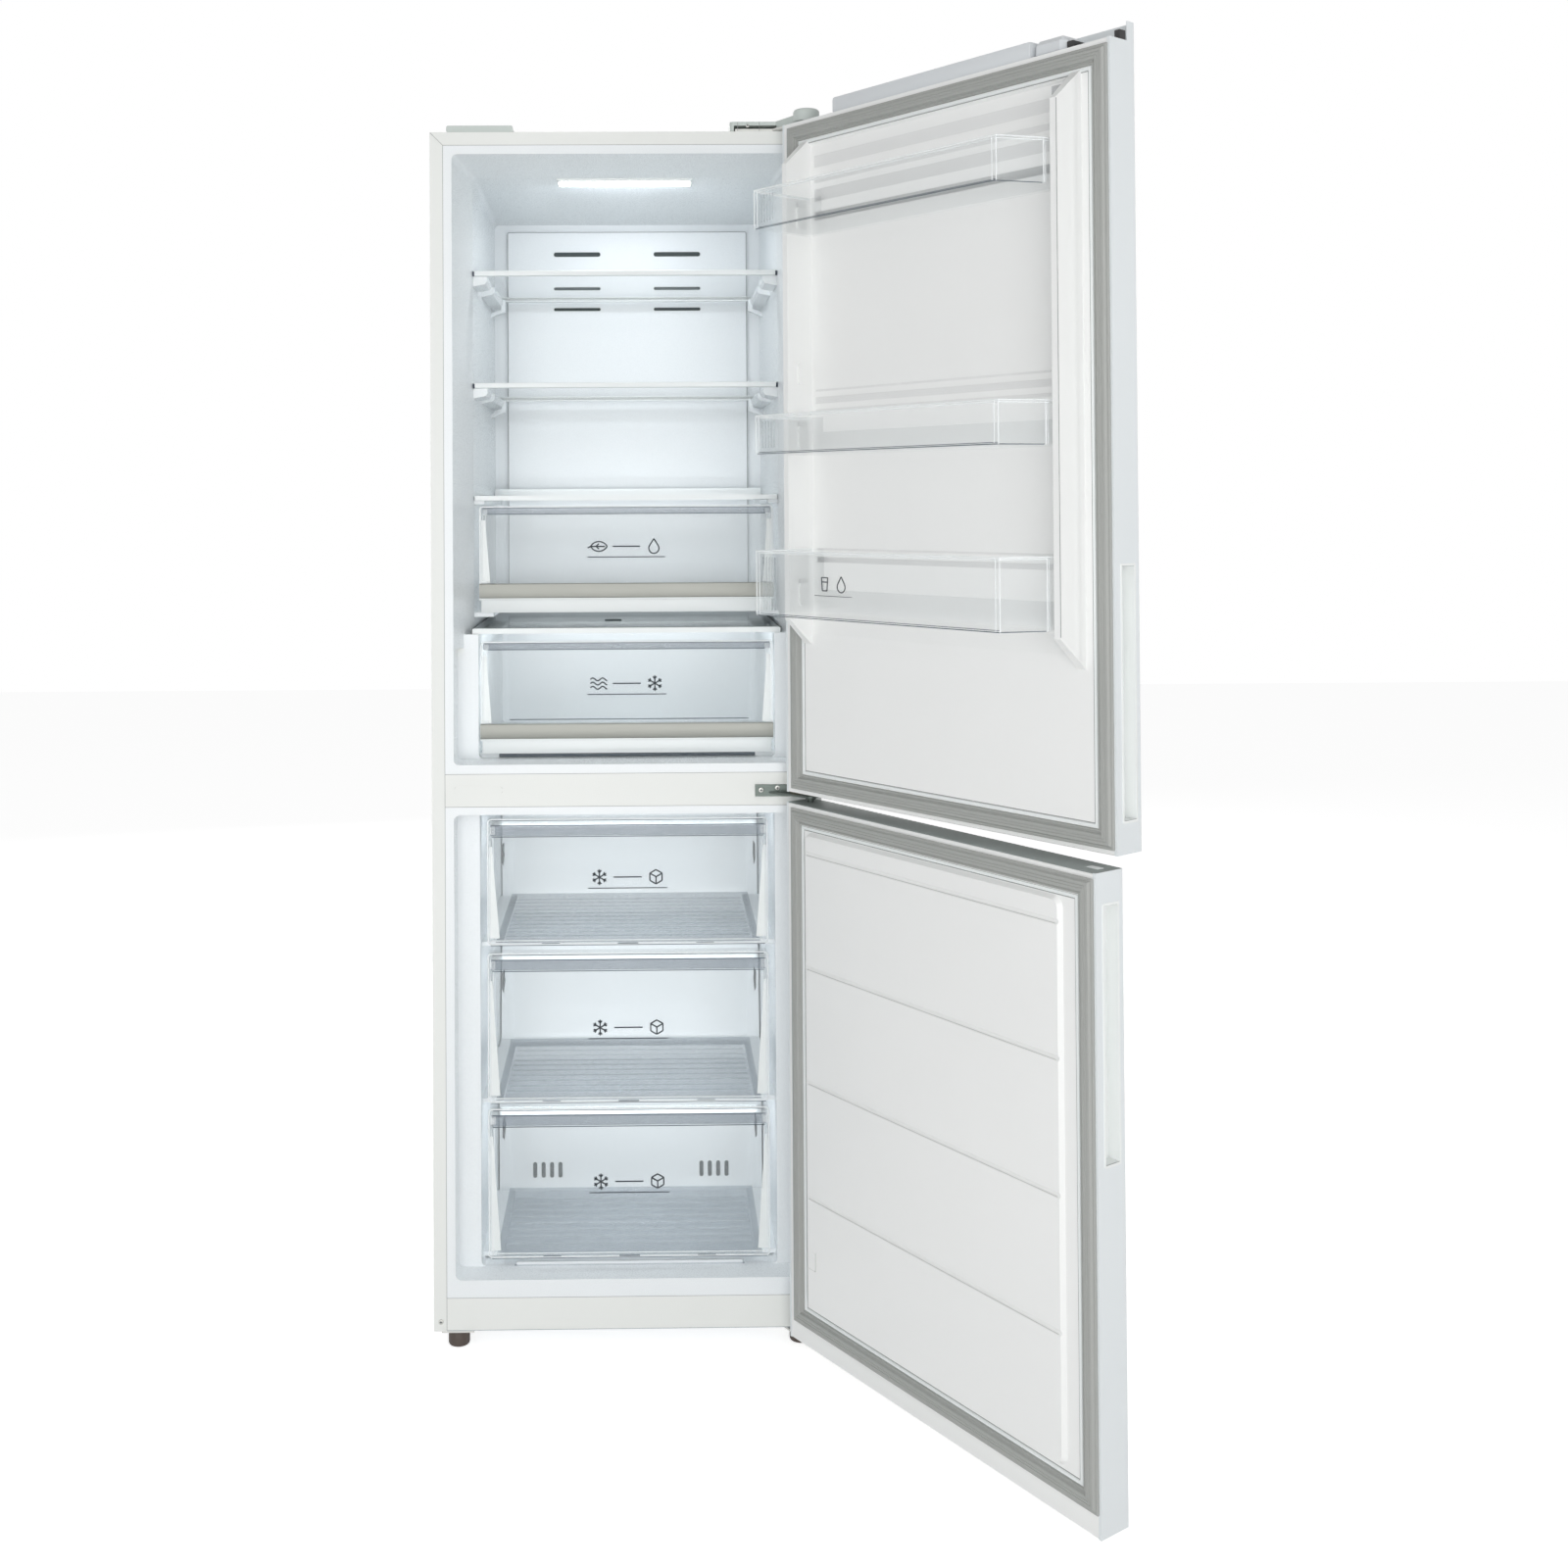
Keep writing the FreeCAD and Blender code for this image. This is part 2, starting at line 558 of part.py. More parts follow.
def fridge_liner():
    seam = HALF - FLANGE - SEAT
    face = block(-seam, seam, 0, LINER_WALL, BEAM_HIGH + SEAT, CABINET_TOP - FLANGE - SEAT)
    solid = fuse([face, fridge_cavity(LINER_WALL)])
    liner = solid.cut(fridge_cavity(0.0))
    liner = liner.cut(block(-HALF, HALF, -20, 0, 0, CABINET_TOP))
    wall = FRIDGE_BACK_HALF + 1.0
    extras = []
    for height in shelf_heights():
        for rest in shelf_rests(wall, height - SEAT):
            extras += both_sides(rest)
    low = CRISPER_SHELF_Z - 6.0
    extras += both_sides(block(wall - 16, wall + 1, SHELF_FRONT + 12, SHELF_BACK - 8, low,
                               CRISPER_SHELF_Z - SEAT))
    extras += both_sides(block(wall - RAIL_REACH, wall + 1, CRISPER[1] + 8, CRISPER[2],
                               CRISPER[3] - GAP - RAIL_HEIGHT, CRISPER[3] - GAP))
    extras += both_sides(block(STEP_HALF - RAIL_REACH, STEP_HALF + 1, CHILLER[1] + 8, CHILLER[2],
                               FRIDGE_FLOOR - 1, CHILLER[3] - GAP))
    within = fridge_cavity(LINER_WALL / 2.0)
    liner = fuse([liner] + [extra.common(within) for extra in extras])
    slot = block(-LIGHT_HALF, LIGHT_HALF, LIGHT_FRONT, LIGHT_BACK, FRIDGE_CEILING_BACK - 5, FRIDGE_TOP + 20)
    return liner.cut(slot)


def freezer_cavity(grow):
    entry = block(-OPENING_HALF - grow, OPENING_HALF + grow, 0, FREEZER_STEP + grow, FREEZER_FLOOR - grow,
                  FREEZER_TOP + grow)
    entry = round_along(entry, (0, 1, 0), OPENING_RADIUS + 2 + grow)
    half = FREEZER_HALF + grow
    back = FREEZER_BACK_HALF + grow
    low = FREEZER_FLOOR - grow
    high = FREEZER_TOP + grow
    room = tunnel([
        (-half, half, low, high - 1, OPENING_RADIUS, 1.0),
        (-back, back, low, high - 8, OPENING_RADIUS, CAVITY_BACK + grow),
    ])
    hump = block(-HALF, HALF, HUMP_FRONT + grow, CAVITY_BACK + 60, 0, HUMP_TOP - grow)
    return fuse([entry, room.cut(hump)])


def freezer_liner():
    seam = HALF - FLANGE - SEAT
    face = block(-seam, seam, 0, LINER_WALL, BOTTOM_RAIL_TOP + SEAT, BEAM_LOW - SEAT)
    liner = fuse([face, freezer_cavity(LINER_WALL)]).cut(freezer_cavity(0.0))
    extras = []
    for half, front, back, bottom, top in FREEZER_DRAWERS.values():
        low = max(bottom - GAP - RAIL_HEIGHT, FREEZER_FLOOR - 1)
        end = back - 10 if bottom > COVER_BEND_Z else COVER_LOW_Y - 2
        end = min(end, back - 10)
        rail = block(FREEZER_BACK_HALF - RAIL_REACH, FREEZER_BACK_HALF + 4, front + 24, end, low,
                     bottom - GAP)
        extras += both_sides(rail)
    sill = block(-175, 175, FREEZER_STEP + 2, FREEZER_STEP + 14, FREEZER_FLOOR - 0.8, FREEZER_FLOOR + 5)
    within = freezer_cavity(LINER_WALL / 2.0)
    return fuse([liner, sill] + [extra.common(within) for extra in extras])


def cabinet_foam():
    side = HALF - SHEET - TUBE_SPACE
    solid = block(-side, side, 15.0, CABINET_DEPTH - SHEET - SEAT, CABINET_BOTTOM,
                  CABINET_TOP - SHEET - SEAT)
    low = room_profile(SHEET + SEAT)
    room = [(-HALF, 0, 0)] + [(-HALF, y, z) for y, z in low] + [(-HALF, CABINET_DEPTH + 5, low[-1][1])]
    room += [(-HALF, CABINET_DEPTH + 5, 0)]
    room[1] = (-HALF, 0, low[0][1])
    solid = solid.cut(prism(room, (WIDTH, 0, 0)))
    foam = solid.cut(fridge_cavity(LINER_WALL + SEAT)).cut(freezer_cavity(LINER_WALL + SEAT))
    pocket = block(-LIGHT_HALF - 8, LIGHT_HALF + 8, LIGHT_FRONT - 8, LIGHT_BACK + 8, FRIDGE_CEILING_BACK,
                   FRIDGE_TOP + 8)
    return foam.cut(pocket).cut(fuse(foot_sockets(FOOT_BOSS + SEAT)))


# ---- air path and cooling circuit ------------------------------------------------------------
def air_duct_panel():
    front = block(-DUCT_HALF, DUCT_HALF, DUCT_FRONT, DUCT_FRONT + DUCT_WALL, DUCT_BOTTOM, DUCT_TOP)
    frame = block(-DUCT_HALF, DUCT_HALF, DUCT_FRONT, CAVITY_BACK - SEAT, DUCT_BOTTOM, DUCT_TOP)
    inside = block(-DUCT_HALF + DUCT_WALL, DUCT_HALF - DUCT_WALL, DUCT_FRONT - 1, CAVITY_BACK + 1,
                   DUCT_BOTTOM + DUCT_WALL, DUCT_TOP - DUCT_WALL)
    panel = fuse([front, frame.cut(inside)])
    for drop, height in DUCT_SLOTS:
        low = DUCT_TOP - drop
        slot = block(DUCT_SLOT_INNER, DUCT_SLOT_OUTER, DUCT_FRONT - 2, DUCT_FRONT + 4, low, low + height)
        slot = round_along(slot, (0, 1, 0), height / 2.0 - 0.1)
        for cut in both_sides(slot):
            panel = panel.cut(cut)
    return panel


def ceiling_at(y):
    share = (y - THROAT_DEPTH) / (CAVITY_BACK - THROAT_DEPTH)
    return FRIDGE_CEILING_FRONT + (FRIDGE_CEILING_BACK - FRIDGE_CEILING_FRONT) * share


def light_diffuser():
    front = LIGHT_FRONT + SEAT
    back = LIGHT_BACK - SEAT
    half = LIGHT_HALF - SEAT
    outline = [(-half, front, ceiling_at(front) - LIGHT_DROP), (-half, back, ceiling_at(back) - LIGHT_DROP),
               (-half, back, ceiling_at(back) + LINER_WALL), (-half, front, ceiling_at(front) + LINER_WALL)]
    return prism(outline, (2 * half, 0, 0))


def cover_outline(offset):
    low = FREEZER_FLOOR + SEAT
    return [(COVER_LOW_Y + offset, low), (COVER_LOW_Y + offset, COVER_STEP_Z - offset),
            (COVER_MID_Y + offset, COVER_STEP_Z - offset), (COVER_TOP_Y + offset, COVER_BEND_Z),
            (COVER_TOP_Y + offset, FREEZER_TOP - 10)]


def evaporator_cover():
    half = FREEZER_BACK_HALF - 1.5
    outline = cover_outline(0.0) + cover_outline(COVER_WALL)[::-1]
    cover = prism([(-half, y, z) for y, z in outline], (2 * half, 0, 0)).common(freezer_cavity(-SEAT))
    first, pitch, count = RETURN_SLOTS
    width, height = RETURN_SLOT
    for number in range(count):
        x = first + number * pitch
        slot = block(x - width / 2.0, x + width / 2.0, COVER_LOW_Y - 5, COVER_LOW_Y + 10,
                     RETURN_SLOT_Z - height / 2.0, RETURN_SLOT_Z + height / 2.0)
        slot = round_along(slot, (0, 1, 0), width / 2.0 - 0.1)
        for cut in both_sides(slot):
            cover = cover.cut(cut)
    inner, outer, height = OUTLET_SLOT
    for row in range(OUTLET_ROWS):
        z = OUTLET_TOP - row * OUTLET_PITCH
        slot = block(inner, outer, COVER_TOP_Y - 5, COVER_TOP_Y + 10, z - height, z)
        for cut in both_sides(round_along(slot, (0, 1, 0), height / 2.0 - 0.1)):
            cover = cover.cut(cut)
    return cover


def evaporator():
    tube_radius = 4.0
    y0 = EVAPORATOR_Y
    z0 = EVAPORATOR_LOW
    pitch = EVAPORATOR_PITCH
    rows = 1 + int((FAN_Z - FAN_RADIUS - 42.0 - z0) / pitch)
    half = FREEZER_BACK_HALF - 46.5
    points = []
    for row in range(rows):
        z = z0 + row * pitch
        ends = (-half, half) if row % 2 == 0 else (half, -half)
        points += [(ends[0], y0, z), (ends[1], y0, z)]
    tube = pipe(points, tube_radius, pitch / 2.0 - 0.5)
    fins = []
    pitch_x = 24.0
    count = 1 + 2 * int((half - 30.0) / pitch_x)
    bore = tube_radius + 0.1
    for number in range(count):
        x = (number - (count - 1) / 2.0) * pitch_x
        fin = block(x - 0.5, x + 0.5, y0 - 22, y0 + 22, z0 - 12, z0 + (rows - 1) * pitch + 12)
        for row in range(rows):
            fin = fin.cut(rod(bore, (x - 2, y0, z0 + row * pitch), (1, 0, 0), 4))
        fins.append(fin)
    return Part.makeCompound([tube] + fins)


def defrost_heater():
    low = HEATER_Z
    y = EVAPORATOR_Y
    span = FREEZER_BACK_HALF - 56.5
    points = [(-span, y, low + 12), (-span, y, low), (span, y, low), (span, y, low + 12)]
    return pipe(points, 3.2, 6.0)


def fan_motor():
    body = rod(17.0, (0, FAN_Y + 18, FAN_Z), (0, 1, 0), 26)
    shaft = rod(FAN_SHAFT, (0, FAN_Y - 10, FAN_Z), (0, 1, 0), 30)
    arms = [block(-62, 62, FAN_Y + 40, FAN_Y + 44, FAN_Z - 4, FAN_Z + 4),
            block(-4, 4, FAN_Y + 40, FAN_Y + 44, FAN_Z - 62, FAN_Z + 62)]
    pads = [block(-66, -58, FAN_Y + 40, CAVITY_BACK - SEAT, FAN_Z - 8, FAN_Z + 8),
            block(58, 66, FAN_Y + 40, CAVITY_BACK - SEAT, FAN_Z - 8, FAN_Z + 8)]
    return fuse([body, shaft] + arms + pads)


def fan_impeller():
    hub = rod(12.0, (0, FAN_Y - 8, FAN_Z), (0, 1, 0), 22)
    blades = []
    for number in range(FAN_BLADES):
        blade = block(9, FAN_RADIUS, -1.0, 1.0, -13, 13)
        blade.rotate(Vector(0, 0, 0), Vector(1, 0, 0), 32)
        blade.rotate(Vector(0, 0, 0), Vector(0, 1, 0), number * 360.0 / FAN_BLADES)
        blade.translate(Vector(0, FAN_Y + 3, FAN_Z))
        blades.append(blade)
    wheel = fuse([hub] + blades)
    return wheel.cut(rod(FAN_SHAFT + BEARING_PLAY, (0, FAN_Y - 12, FAN_Z), (0, 1, 0), 40))


def compressor():
    base = TRAY_Z + COMPRESSOR_LIFT
    can = rod(COMPRESSOR_RADIUS, (COMPRESSOR_X, COMPRESSOR_Y, base), (0, 0, 1), COMPRESSOR_HEIGHT)
    rims = [e for e in can.Edges if len(e.Vertexes) == 1 or e.Closed]
    can = can.makeFillet(26.0, rims)
    x = COMPRESSOR_X
    y = COMPRESSOR_Y
    reach = COMPRESSOR_RADIUS + 6.0
    foot = block(x - reach, x + reach, y - 60, y + 60, base - 2, base + 1.5)
    relay = block(x + COMPRESSOR_RADIUS - 6, x + COMPRESSOR_RADIUS + 34, y - 30, y + 30, base + 45,
                  base + 110)
    seat = rod(60, (x, y, base), (0, 0, 1), 12)
    whole = fuse([can, foot, relay, seat])
    for x, y in grommet_places():
        whole = whole.cut(rod(5.0, (x, y, base - 10), (0, 0, 1), 20))
    return whole


def compressor_grommets():
    grommets = []
    for x, y in grommet_places():
        low = rod(11.0, (x, y, TRAY_Z + TRAY_WALL), (0, 0, 1), COMPRESSOR_LIFT - TRAY_WALL - 2.0)
        neck = rod(5.0 - SEAT, (x, y, TRAY_Z + 5), (0, 0, 1), 16)
        head = rod(8.0, (x, y, TRAY_Z + COMPRESSOR_LIFT + 1.5), (0, 0, 1), 4)
        grommets.append(fuse([low, neck, head]))
    return Part.makeCompound(grommets)


def condenser_coil():
    x = HALF - SHEET - TUBE_SPACE / 2.0
    pitch = 70.0
    front = 110.0
    runs = 1 + int((CABINET_DEPTH - 2 * front) / pitch)
    low = HUMP_TOP + 70.0
    high = CABINET_TOP - 155.5
    points = []
    for run in range(runs):
        y = front + run * pitch
        ends = (low, high) if run % 2 == 0 else (high, low)
        points += [(x, y, ends[0]), (x, y, ends[1])]
    return Part.makeCompound(both_sides(pipe(points, 2.4, 30.0)))


def refrigerant_pipes():
    top = TRAY_Z + COMPRESSOR_LIFT + COMPRESSOR_HEIGHT
    end = ROOM_TOP - 17.0
    x = COMPRESSOR_X - 30.0
    y = COMPRESSOR_Y
    suction = pipe([(x, y, top + 0.5), (x, y, top + 20), (x - 90, y, top + 20), (x - 90, y, end)], 3.5,
                   14.0)
    x += 50.0
    delivery = pipe([(x, y, top + 0.5), (x, y, top + 18), (x + 100, y, top + 18), (x + 100, y, end)], 2.6,
                    12.0)
    drier = rod(9.0, (COMPRESSOR_X - 210.0, COMPRESSOR_Y + 20, 120.0), (0, 0, 1), 70)
    return Part.makeCompound([suction, delivery, drier])


def drip_tray():
    x0, x1 = DRIP_TRAY
    y1 = CABINET_DEPTH - 25.0
    y0 = y1 - DRIP_TRAY_LENGTH
    z0 = TRAY_Z + DRIP_TRAY_LIFT
    z1 = z0 + DRIP_TRAY_HEIGHT
    outer = round_along(block(x0, x1, y0, y1, z0, z1), (0, 0, 1), 10.0)
    inner = round_along(block(x0 + 2, x1 - 2, y0 + 2, y1 - 2, z0 + 2, z1 + 7), (0, 0, 1), 8.0)
    foot = TRAY_Z + TRAY_WALL
    legs = [block(x, x + 10, y0 + 10, y1 - 10, foot, z0 + 0.5) for x in (x0 + 15, x1 - 25)]
    return fuse([outer.cut(inner)] + legs)


def control_box():
    x0, x1 = CONTROL_BOX
    top = ROOM_TOP - 2.0
    body = block(x0, x1, CABINET_DEPTH - 140.0, TRAY_BACK, top - CONTROL_BOX_HEIGHT, top)
    gland = rod(GLAND_RADIUS - SEAT, (GLAND[0], CABINET_DEPTH - 5, GLAND[1]), (0, 1, 0), 5)
    return fuse([round_along(body, (0, 1, 0), 3.0), gland])


# ---- hinges and fasteners --------------------------------------------------------------------
def top_hinge():
    z0 = UPPER_TOP + HINGE_LIFT
    x0, x1 = HINGE_ROOT
    root = block(x0, x1, 3.0, HINGE_ROOT_BACK, z0, z0 + HINGE_PLATE)
    outline = [(x1 - 34, 3.5), (x1, 3.5), (PIVOT_X + 9, PIVOT_Y + 8), (PIVOT_X - 13, PIVOT_Y - 2)]
    arm = prism([(x, y, z0) for x, y in outline], (0, 0, HINGE_PLATE))
    eye = rod(14.0, (PIVOT_X, PIVOT_Y, z0), (0, 0, 1), HINGE_PLATE)
    foot = block(x0, x1, 3.0, HINGE_ROOT_BACK, CABINET_TOP, z0 + 0.5)
    pin = rod(HINGE_PIN, (PIVOT_X, PIVOT_Y, z0 + 0.5), (0, 0, -1), HINGE_PIN_LENGTH)
    plate = fuse([root, arm, eye, foot, pin])
    for x in TOP_SCREWS:
        plate = plate.cut(rod(2.6, (x, TOP_SCREW_Y, CABINET_TOP - 2), (0, 0, 1), 20))
    return plate


def top_hinge_cover():
    x0, x1 = HINGE_COVER
    z0 = UPPER_TOP + HINGE_LIFT + HINGE_PLATE + SEAT
    body = block(x0, x1, COVER_FRONT, HINGE_COVER_BACK, CABINET_TOP + SEAT, HINGE_COVER_TOP)
    body = round_along(body, (0, 0, 1), 6.0)
    outline = [(x1 - 32, 6), (x1, 6), (PIVOT_X + 12, PIVOT_Y + 10), (PIVOT_X - 16, PIVOT_Y - 6)]
    arm = prism([(x, y, z0) for x, y in outline], (0, 0, HINGE_COVER_TOP - z0))
    knob = rod(20.0, (PIVOT_X, PIVOT_Y, z0), (0, 0, 1), CREST_TOP - 1.0 - z0)
    rim = [e for e in knob.Edges if e.Closed and e.BoundBox.ZMin > z0 + 5]
    knob = knob.makeFillet(5.0, rim)
    shell = fuse([body, arm, knob])
    room = block(x0 + 6, x1 - 1.5, 0.0, HINGE_ROOT_BACK + 2, CABINET_TOP - 1, z0 + 5.0)
    return shell.cut(room)


def blank_hinge_cover():
    x0, x1 = BLANK_COVER
    cover = block(x0, x1, COVER_FRONT, HINGE_COVER_BACK, CABINET_TOP + SEAT, BLANK_COVER_TOP)
    cover = round_along(cover, (0, 1, 0), 3.0)
    room = block(x0 + 4, x1 - 4, COVER_FRONT + 2, HINGE_COVER_BACK - 2, CABINET_TOP - 1,
                 BLANK_COVER_TOP - 2.7)
    return cover.cut(room)


def middle_hinge():
    z0 = DOOR_SPLIT - HINGE_PLATE / 2.0
    z1 = DOOR_SPLIT + HINGE_PLATE / 2.0
    x0, x1 = MIDDLE_PLATE
    plate = block(x0, x1, -HINGE_PLATE, 0.0, DOOR_SPLIT - 6.0, DOOR_SPLIT + 12.0)
    arm = prism([(x0 + 18, -0.5, z0), (x1, -0.5, z0), (PIVOT_X + 11, PIVOT_Y + 6, z0),
                 (PIVOT_X - 11, PIVOT_Y - 6, z0)], (0, 0, HINGE_PLATE))
    eye = rod(12.0, (PIVOT_X, PIVOT_Y, z0), (0, 0, 1), HINGE_PLATE)
    up = rod(HINGE_PIN, (PIVOT_X, PIVOT_Y, z1 - 0.5), (0, 0, 1), HINGE_PIN_LENGTH)
    down = rod(HINGE_PIN, (PIVOT_X, PIVOT_Y, z0 + 0.5), (0, 0, -1), HINGE_PIN_LENGTH)
    collar = rod(8.0, (PIVOT_X, PIVOT_Y, z0 - 2.5), (0, 0, 1), HINGE_PLATE + 5.0)
    hinge = fuse([plate, arm, eye, up, down, collar])
    for x, z in MIDDLE_SCREWS:
        hinge = hinge.cut(rod(2.2, (x, -10, z), (0, 1, 0), 30))
    return hinge


def bottom_hinge():
    z1 = CABINET_BOTTOM - SEAT
    z0 = z1 - HINGE_PLATE
    x0 = PIVOT_X - 55.5
    outline = [(x0, 90), (x0 + 58, 90), (x0 + 66, 0), (PIVOT_X + 13, PIVOT_Y + 4),
               (PIVOT_X - 13, PIVOT_Y - 4), (x0 + 18, 0), (x0, 30)]
    arm = prism([(x, y, z0) for x, y in outline], (0, 0, HINGE_PLATE))
    eye = rod(13.0, (PIVOT_X, PIVOT_Y, z0), (0, 0, 1), HINGE_PLATE)
    pin = rod(HINGE_PIN, (PIVOT_X, PIVOT_Y, z0 + 0.5), (0, 0, 1), LOWER_BOTTOM - z0 + 12.0)
    collar = rod(8.0, (PIVOT_X, PIVOT_Y, z0 + 1), (0, 0, 1), LOWER_BOTTOM - z0 - 1 - GAP)
    boss = rod(FOOT_BOSS, (FOOT_X, FOOT_Y, z0 + 0.5), (0, 0, 1), 24.0)
    hinge = fuse([arm, eye, pin, collar, boss])
    return hinge.cut(rod(FOOT_STUD + BEARING_PLAY, (FOOT_X, FOOT_Y, 0), (0, 0, 1), 80))


def foot_nut():
    """Threaded socket in the left front corner of the base."""
    z1 = CABINET_BOTTOM - SEAT
    plate = block(-FOOT_X - 24.6, -FOOT_X + 25.4, 2, 60, z1 - HINGE_PLATE, z1)
    boss = rod(FOOT_BOSS, (-FOOT_X, FOOT_Y, z1 - HINGE_PLATE + 0.5), (0, 0, 1), 24.0)
    return fuse([plate, boss]).cut(rod(FOOT_STUD + BEARING_PLAY, (-FOOT_X, FOOT_Y, 0), (0, 0, 1), 80))


def cabinet_screws():
    x, z = FLANGE_SCREW
    head = rod(SCREW_RADIUS, (x, -0.05, z), (0, -1, 0), SCREW_HEAD)
    shank = rod(1.7, (x, -0.5, z), (0, 1, 0), 10)
    screws = [fuse([head, shank])]
    for x, z in MIDDLE_SCREWS:
        head = rod(SCREW_RADIUS, (x, -HINGE_PLATE - 0.05, z), (0, -1, 0), SCREW_HEAD)
        shank = rod(2.0, (x, -HINGE_PLATE - 0.5, z), (0, 1, 0), HINGE_PLATE)
        screws.append(fuse([head, shank]))
    for x in TOP_SCREWS:
        z = UPPER_TOP + HINGE_LIFT + HINGE_PLATE
        head = rod(SCREW_RADIUS, (x, TOP_SCREW_Y, z + 0.05), (0, 0, 1), SCREW_HEAD)
        shank = rod(2.4, (x, TOP_SCREW_Y, z + 0.5), (0, 0, -1), 4.0)
        screws.append(fuse([head, shank]))
    return Part.makeCompound(screws)


# ---- running gear ----------------------------------------------------------------------------
def levelling_foot(side):
    x = side * FOOT_X
    pad = rod(FOOT_RADIUS, (x, FOOT_Y, 0), (0, 0, 1), FOOT_HEIGHT)
    rims = [e for e in pad.Edges if e.Closed]
    pad = pad.makeFillet(2.5, rims)
    stud = rod(FOOT_STUD, (x, FOOT_Y, FOOT_HEIGHT - 2), (0, 0, 1), 26)
    neck_top = CABINET_BOTTOM - HINGE_PLATE - SEAT - GAP
    neck = rod(FOOT_RADIUS - 2.5, (x, FOOT_Y, FOOT_HEIGHT - 1), (0, 0, 1), neck_top - FOOT_HEIGHT + 1)
    return fuse([pad, neck, stud])


def roller(side):
    x = side * ROLLER_X - ROLLER_WIDTH / 2.0
    wheel = rod(ROLLER_RADIUS, (x, ROLLER_Y, ROLLER_RADIUS), (1, 0, 0), ROLLER_WIDTH)
    bore = rod(AXLE_RADIUS + BEARING_PLAY, (x - 5, ROLLER_Y, ROLLER_RADIUS), (1, 0, 0), ROLLER_WIDTH + 10)
    return wheel.cut(bore)


def roller_axles():
    length = ROLLER_WIDTH + 11.0
    axles = []
    for side in (-1, 1):
        start = (side * ROLLER_X - length / 2.0, ROLLER_Y, ROLLER_RADIUS)
        axles.append(rod(AXLE_RADIUS, start, (1, 0, 0), length))
    return Part.makeCompound(axles)


# ---- doors -----------------------------------------------------------------------------------
def door_box(inset, bottom, top, back):
    """Rounded door body, inset on its front and sides."""
    box = block(-HALF + inset, HALF - inset, DOOR_FACE + inset, back, bottom, top)
    reach = DOOR_FACE + inset + 0.01
    fronts = [e for e in box.Edges if e.BoundBox.YMax < reach and e.BoundBox.ZLength > 10]
    return box.makeFillet(max(CORNER_RADIUS - inset, 0.5), fronts)


def grip_hole(low, high, grow):
    end = -HALF + GRIP_DEPTH + grow
    return block(-HALF - 5, end, GRIP_FRONT - grow, GRIP_BACK + grow, low - grow, high + grow)


def door_skin(bottom, top, crest):
    outer = door_box(0.0, bottom, crest, DOOR_BACK)
    inner = door_box(SHEET, bottom - 5, crest + 5, DOOR_BACK - SHEET)
    half = HALF - DOOR_LIP
    mouth = block(-half, half, DOOR_BACK - SHEET - 1, DOOR_BACK + 1, bottom - 5, crest + 5)
    skin = outer.cut(inner).cut(mouth)
    if crest > top:
        skin = skin.cut(block(-HALF - 5, HALF + 5, DOOR_FACE + CREST_DEPTH, 5, top, crest + 5))
        skin = skin.cut(block(CREST_END, HALF + 5, DOOR_FACE - 5, 5, top, crest + 5))
    return skin


def end_cap(low, high):
    return door_box(SHEET + SEAT, low, high, DOOR_BACK - LINER_WALL - SEAT)


def bush_hole(z0, z1):
    return rod(HINGE_PIN + BEARING_PLAY, (PIVOT_X, PIVOT_Y, z0), (0, 0, 1), z1 - z0)


def door_foam(bottom, top, grip, extra):
    clear = SHEET + 2 * SEAT
    body = block(-HALF + clear, HALF - clear, DOOR_FACE + clear + 1.5, DOOR_BACK - LINER_WALL - 2 * SEAT,
                 bottom + CAP_HEIGHT + SEAT, top - CAP_HEIGHT - SEAT)
    body = body.cut(grip_hole(grip[0], grip[1], GRIP_WALL + SEAT))
    for z0, z1 in ((bottom, bottom + 32), (top - 32, top)):
        body = body.cut(rod(HINGE_PIN + 5.0, (PIVOT_X, PIVOT_Y, z0), (0, 0, 1), z1 - z0))
    return fuse([body] + extra) if extra else body


def grip_insert(grip):
    outer = grip_hole(grip[0], grip[1], GRIP_WALL)
    hollow = grip_hole(grip[0], grip[1], 0.0)
    lip = block(-HALF - 0.6, -HALF, GRIP_FRONT - 2.5, GRIP_BACK + 2.5, grip[0] - 3, grip[1] + 3)
    lip = round_along(lip, (1, 0, 0), 2.0)
    insert = fuse([outer.common(block(-HALF, 0, DOOR_FACE, 0, 0, CABINET_TOP)), lip])
    return insert.cut(hollow)


def gasket(z0, z1):
    x0 = -HALF + GASKET_FREE_INSET
    x1 = HALF - GASKET_HINGE_INSET

    def solid(inset, sense):
        at_root = inset
        at_front = inset + sense * GASKET_BEVEL
        sections = [(x0 + at_root, x1 - at_root, z0 + at_root, z1 - at_root, 0.0, DOOR_BACK),
                    (x0 + at_root, x1 - at_root, z0 + at_root, z1 - at_root, 0.0, DOOR_BACK + GASKET_ROOT),
                    (x0 + at_front, x1 - at_front, z0 + at_front, z1 - at_front, 0.0, GASKET_FRONT)]
        return tunnel(sections)

    return solid(0.0, 1.0).cut(solid(GASKET_WIDTH, -0.5))


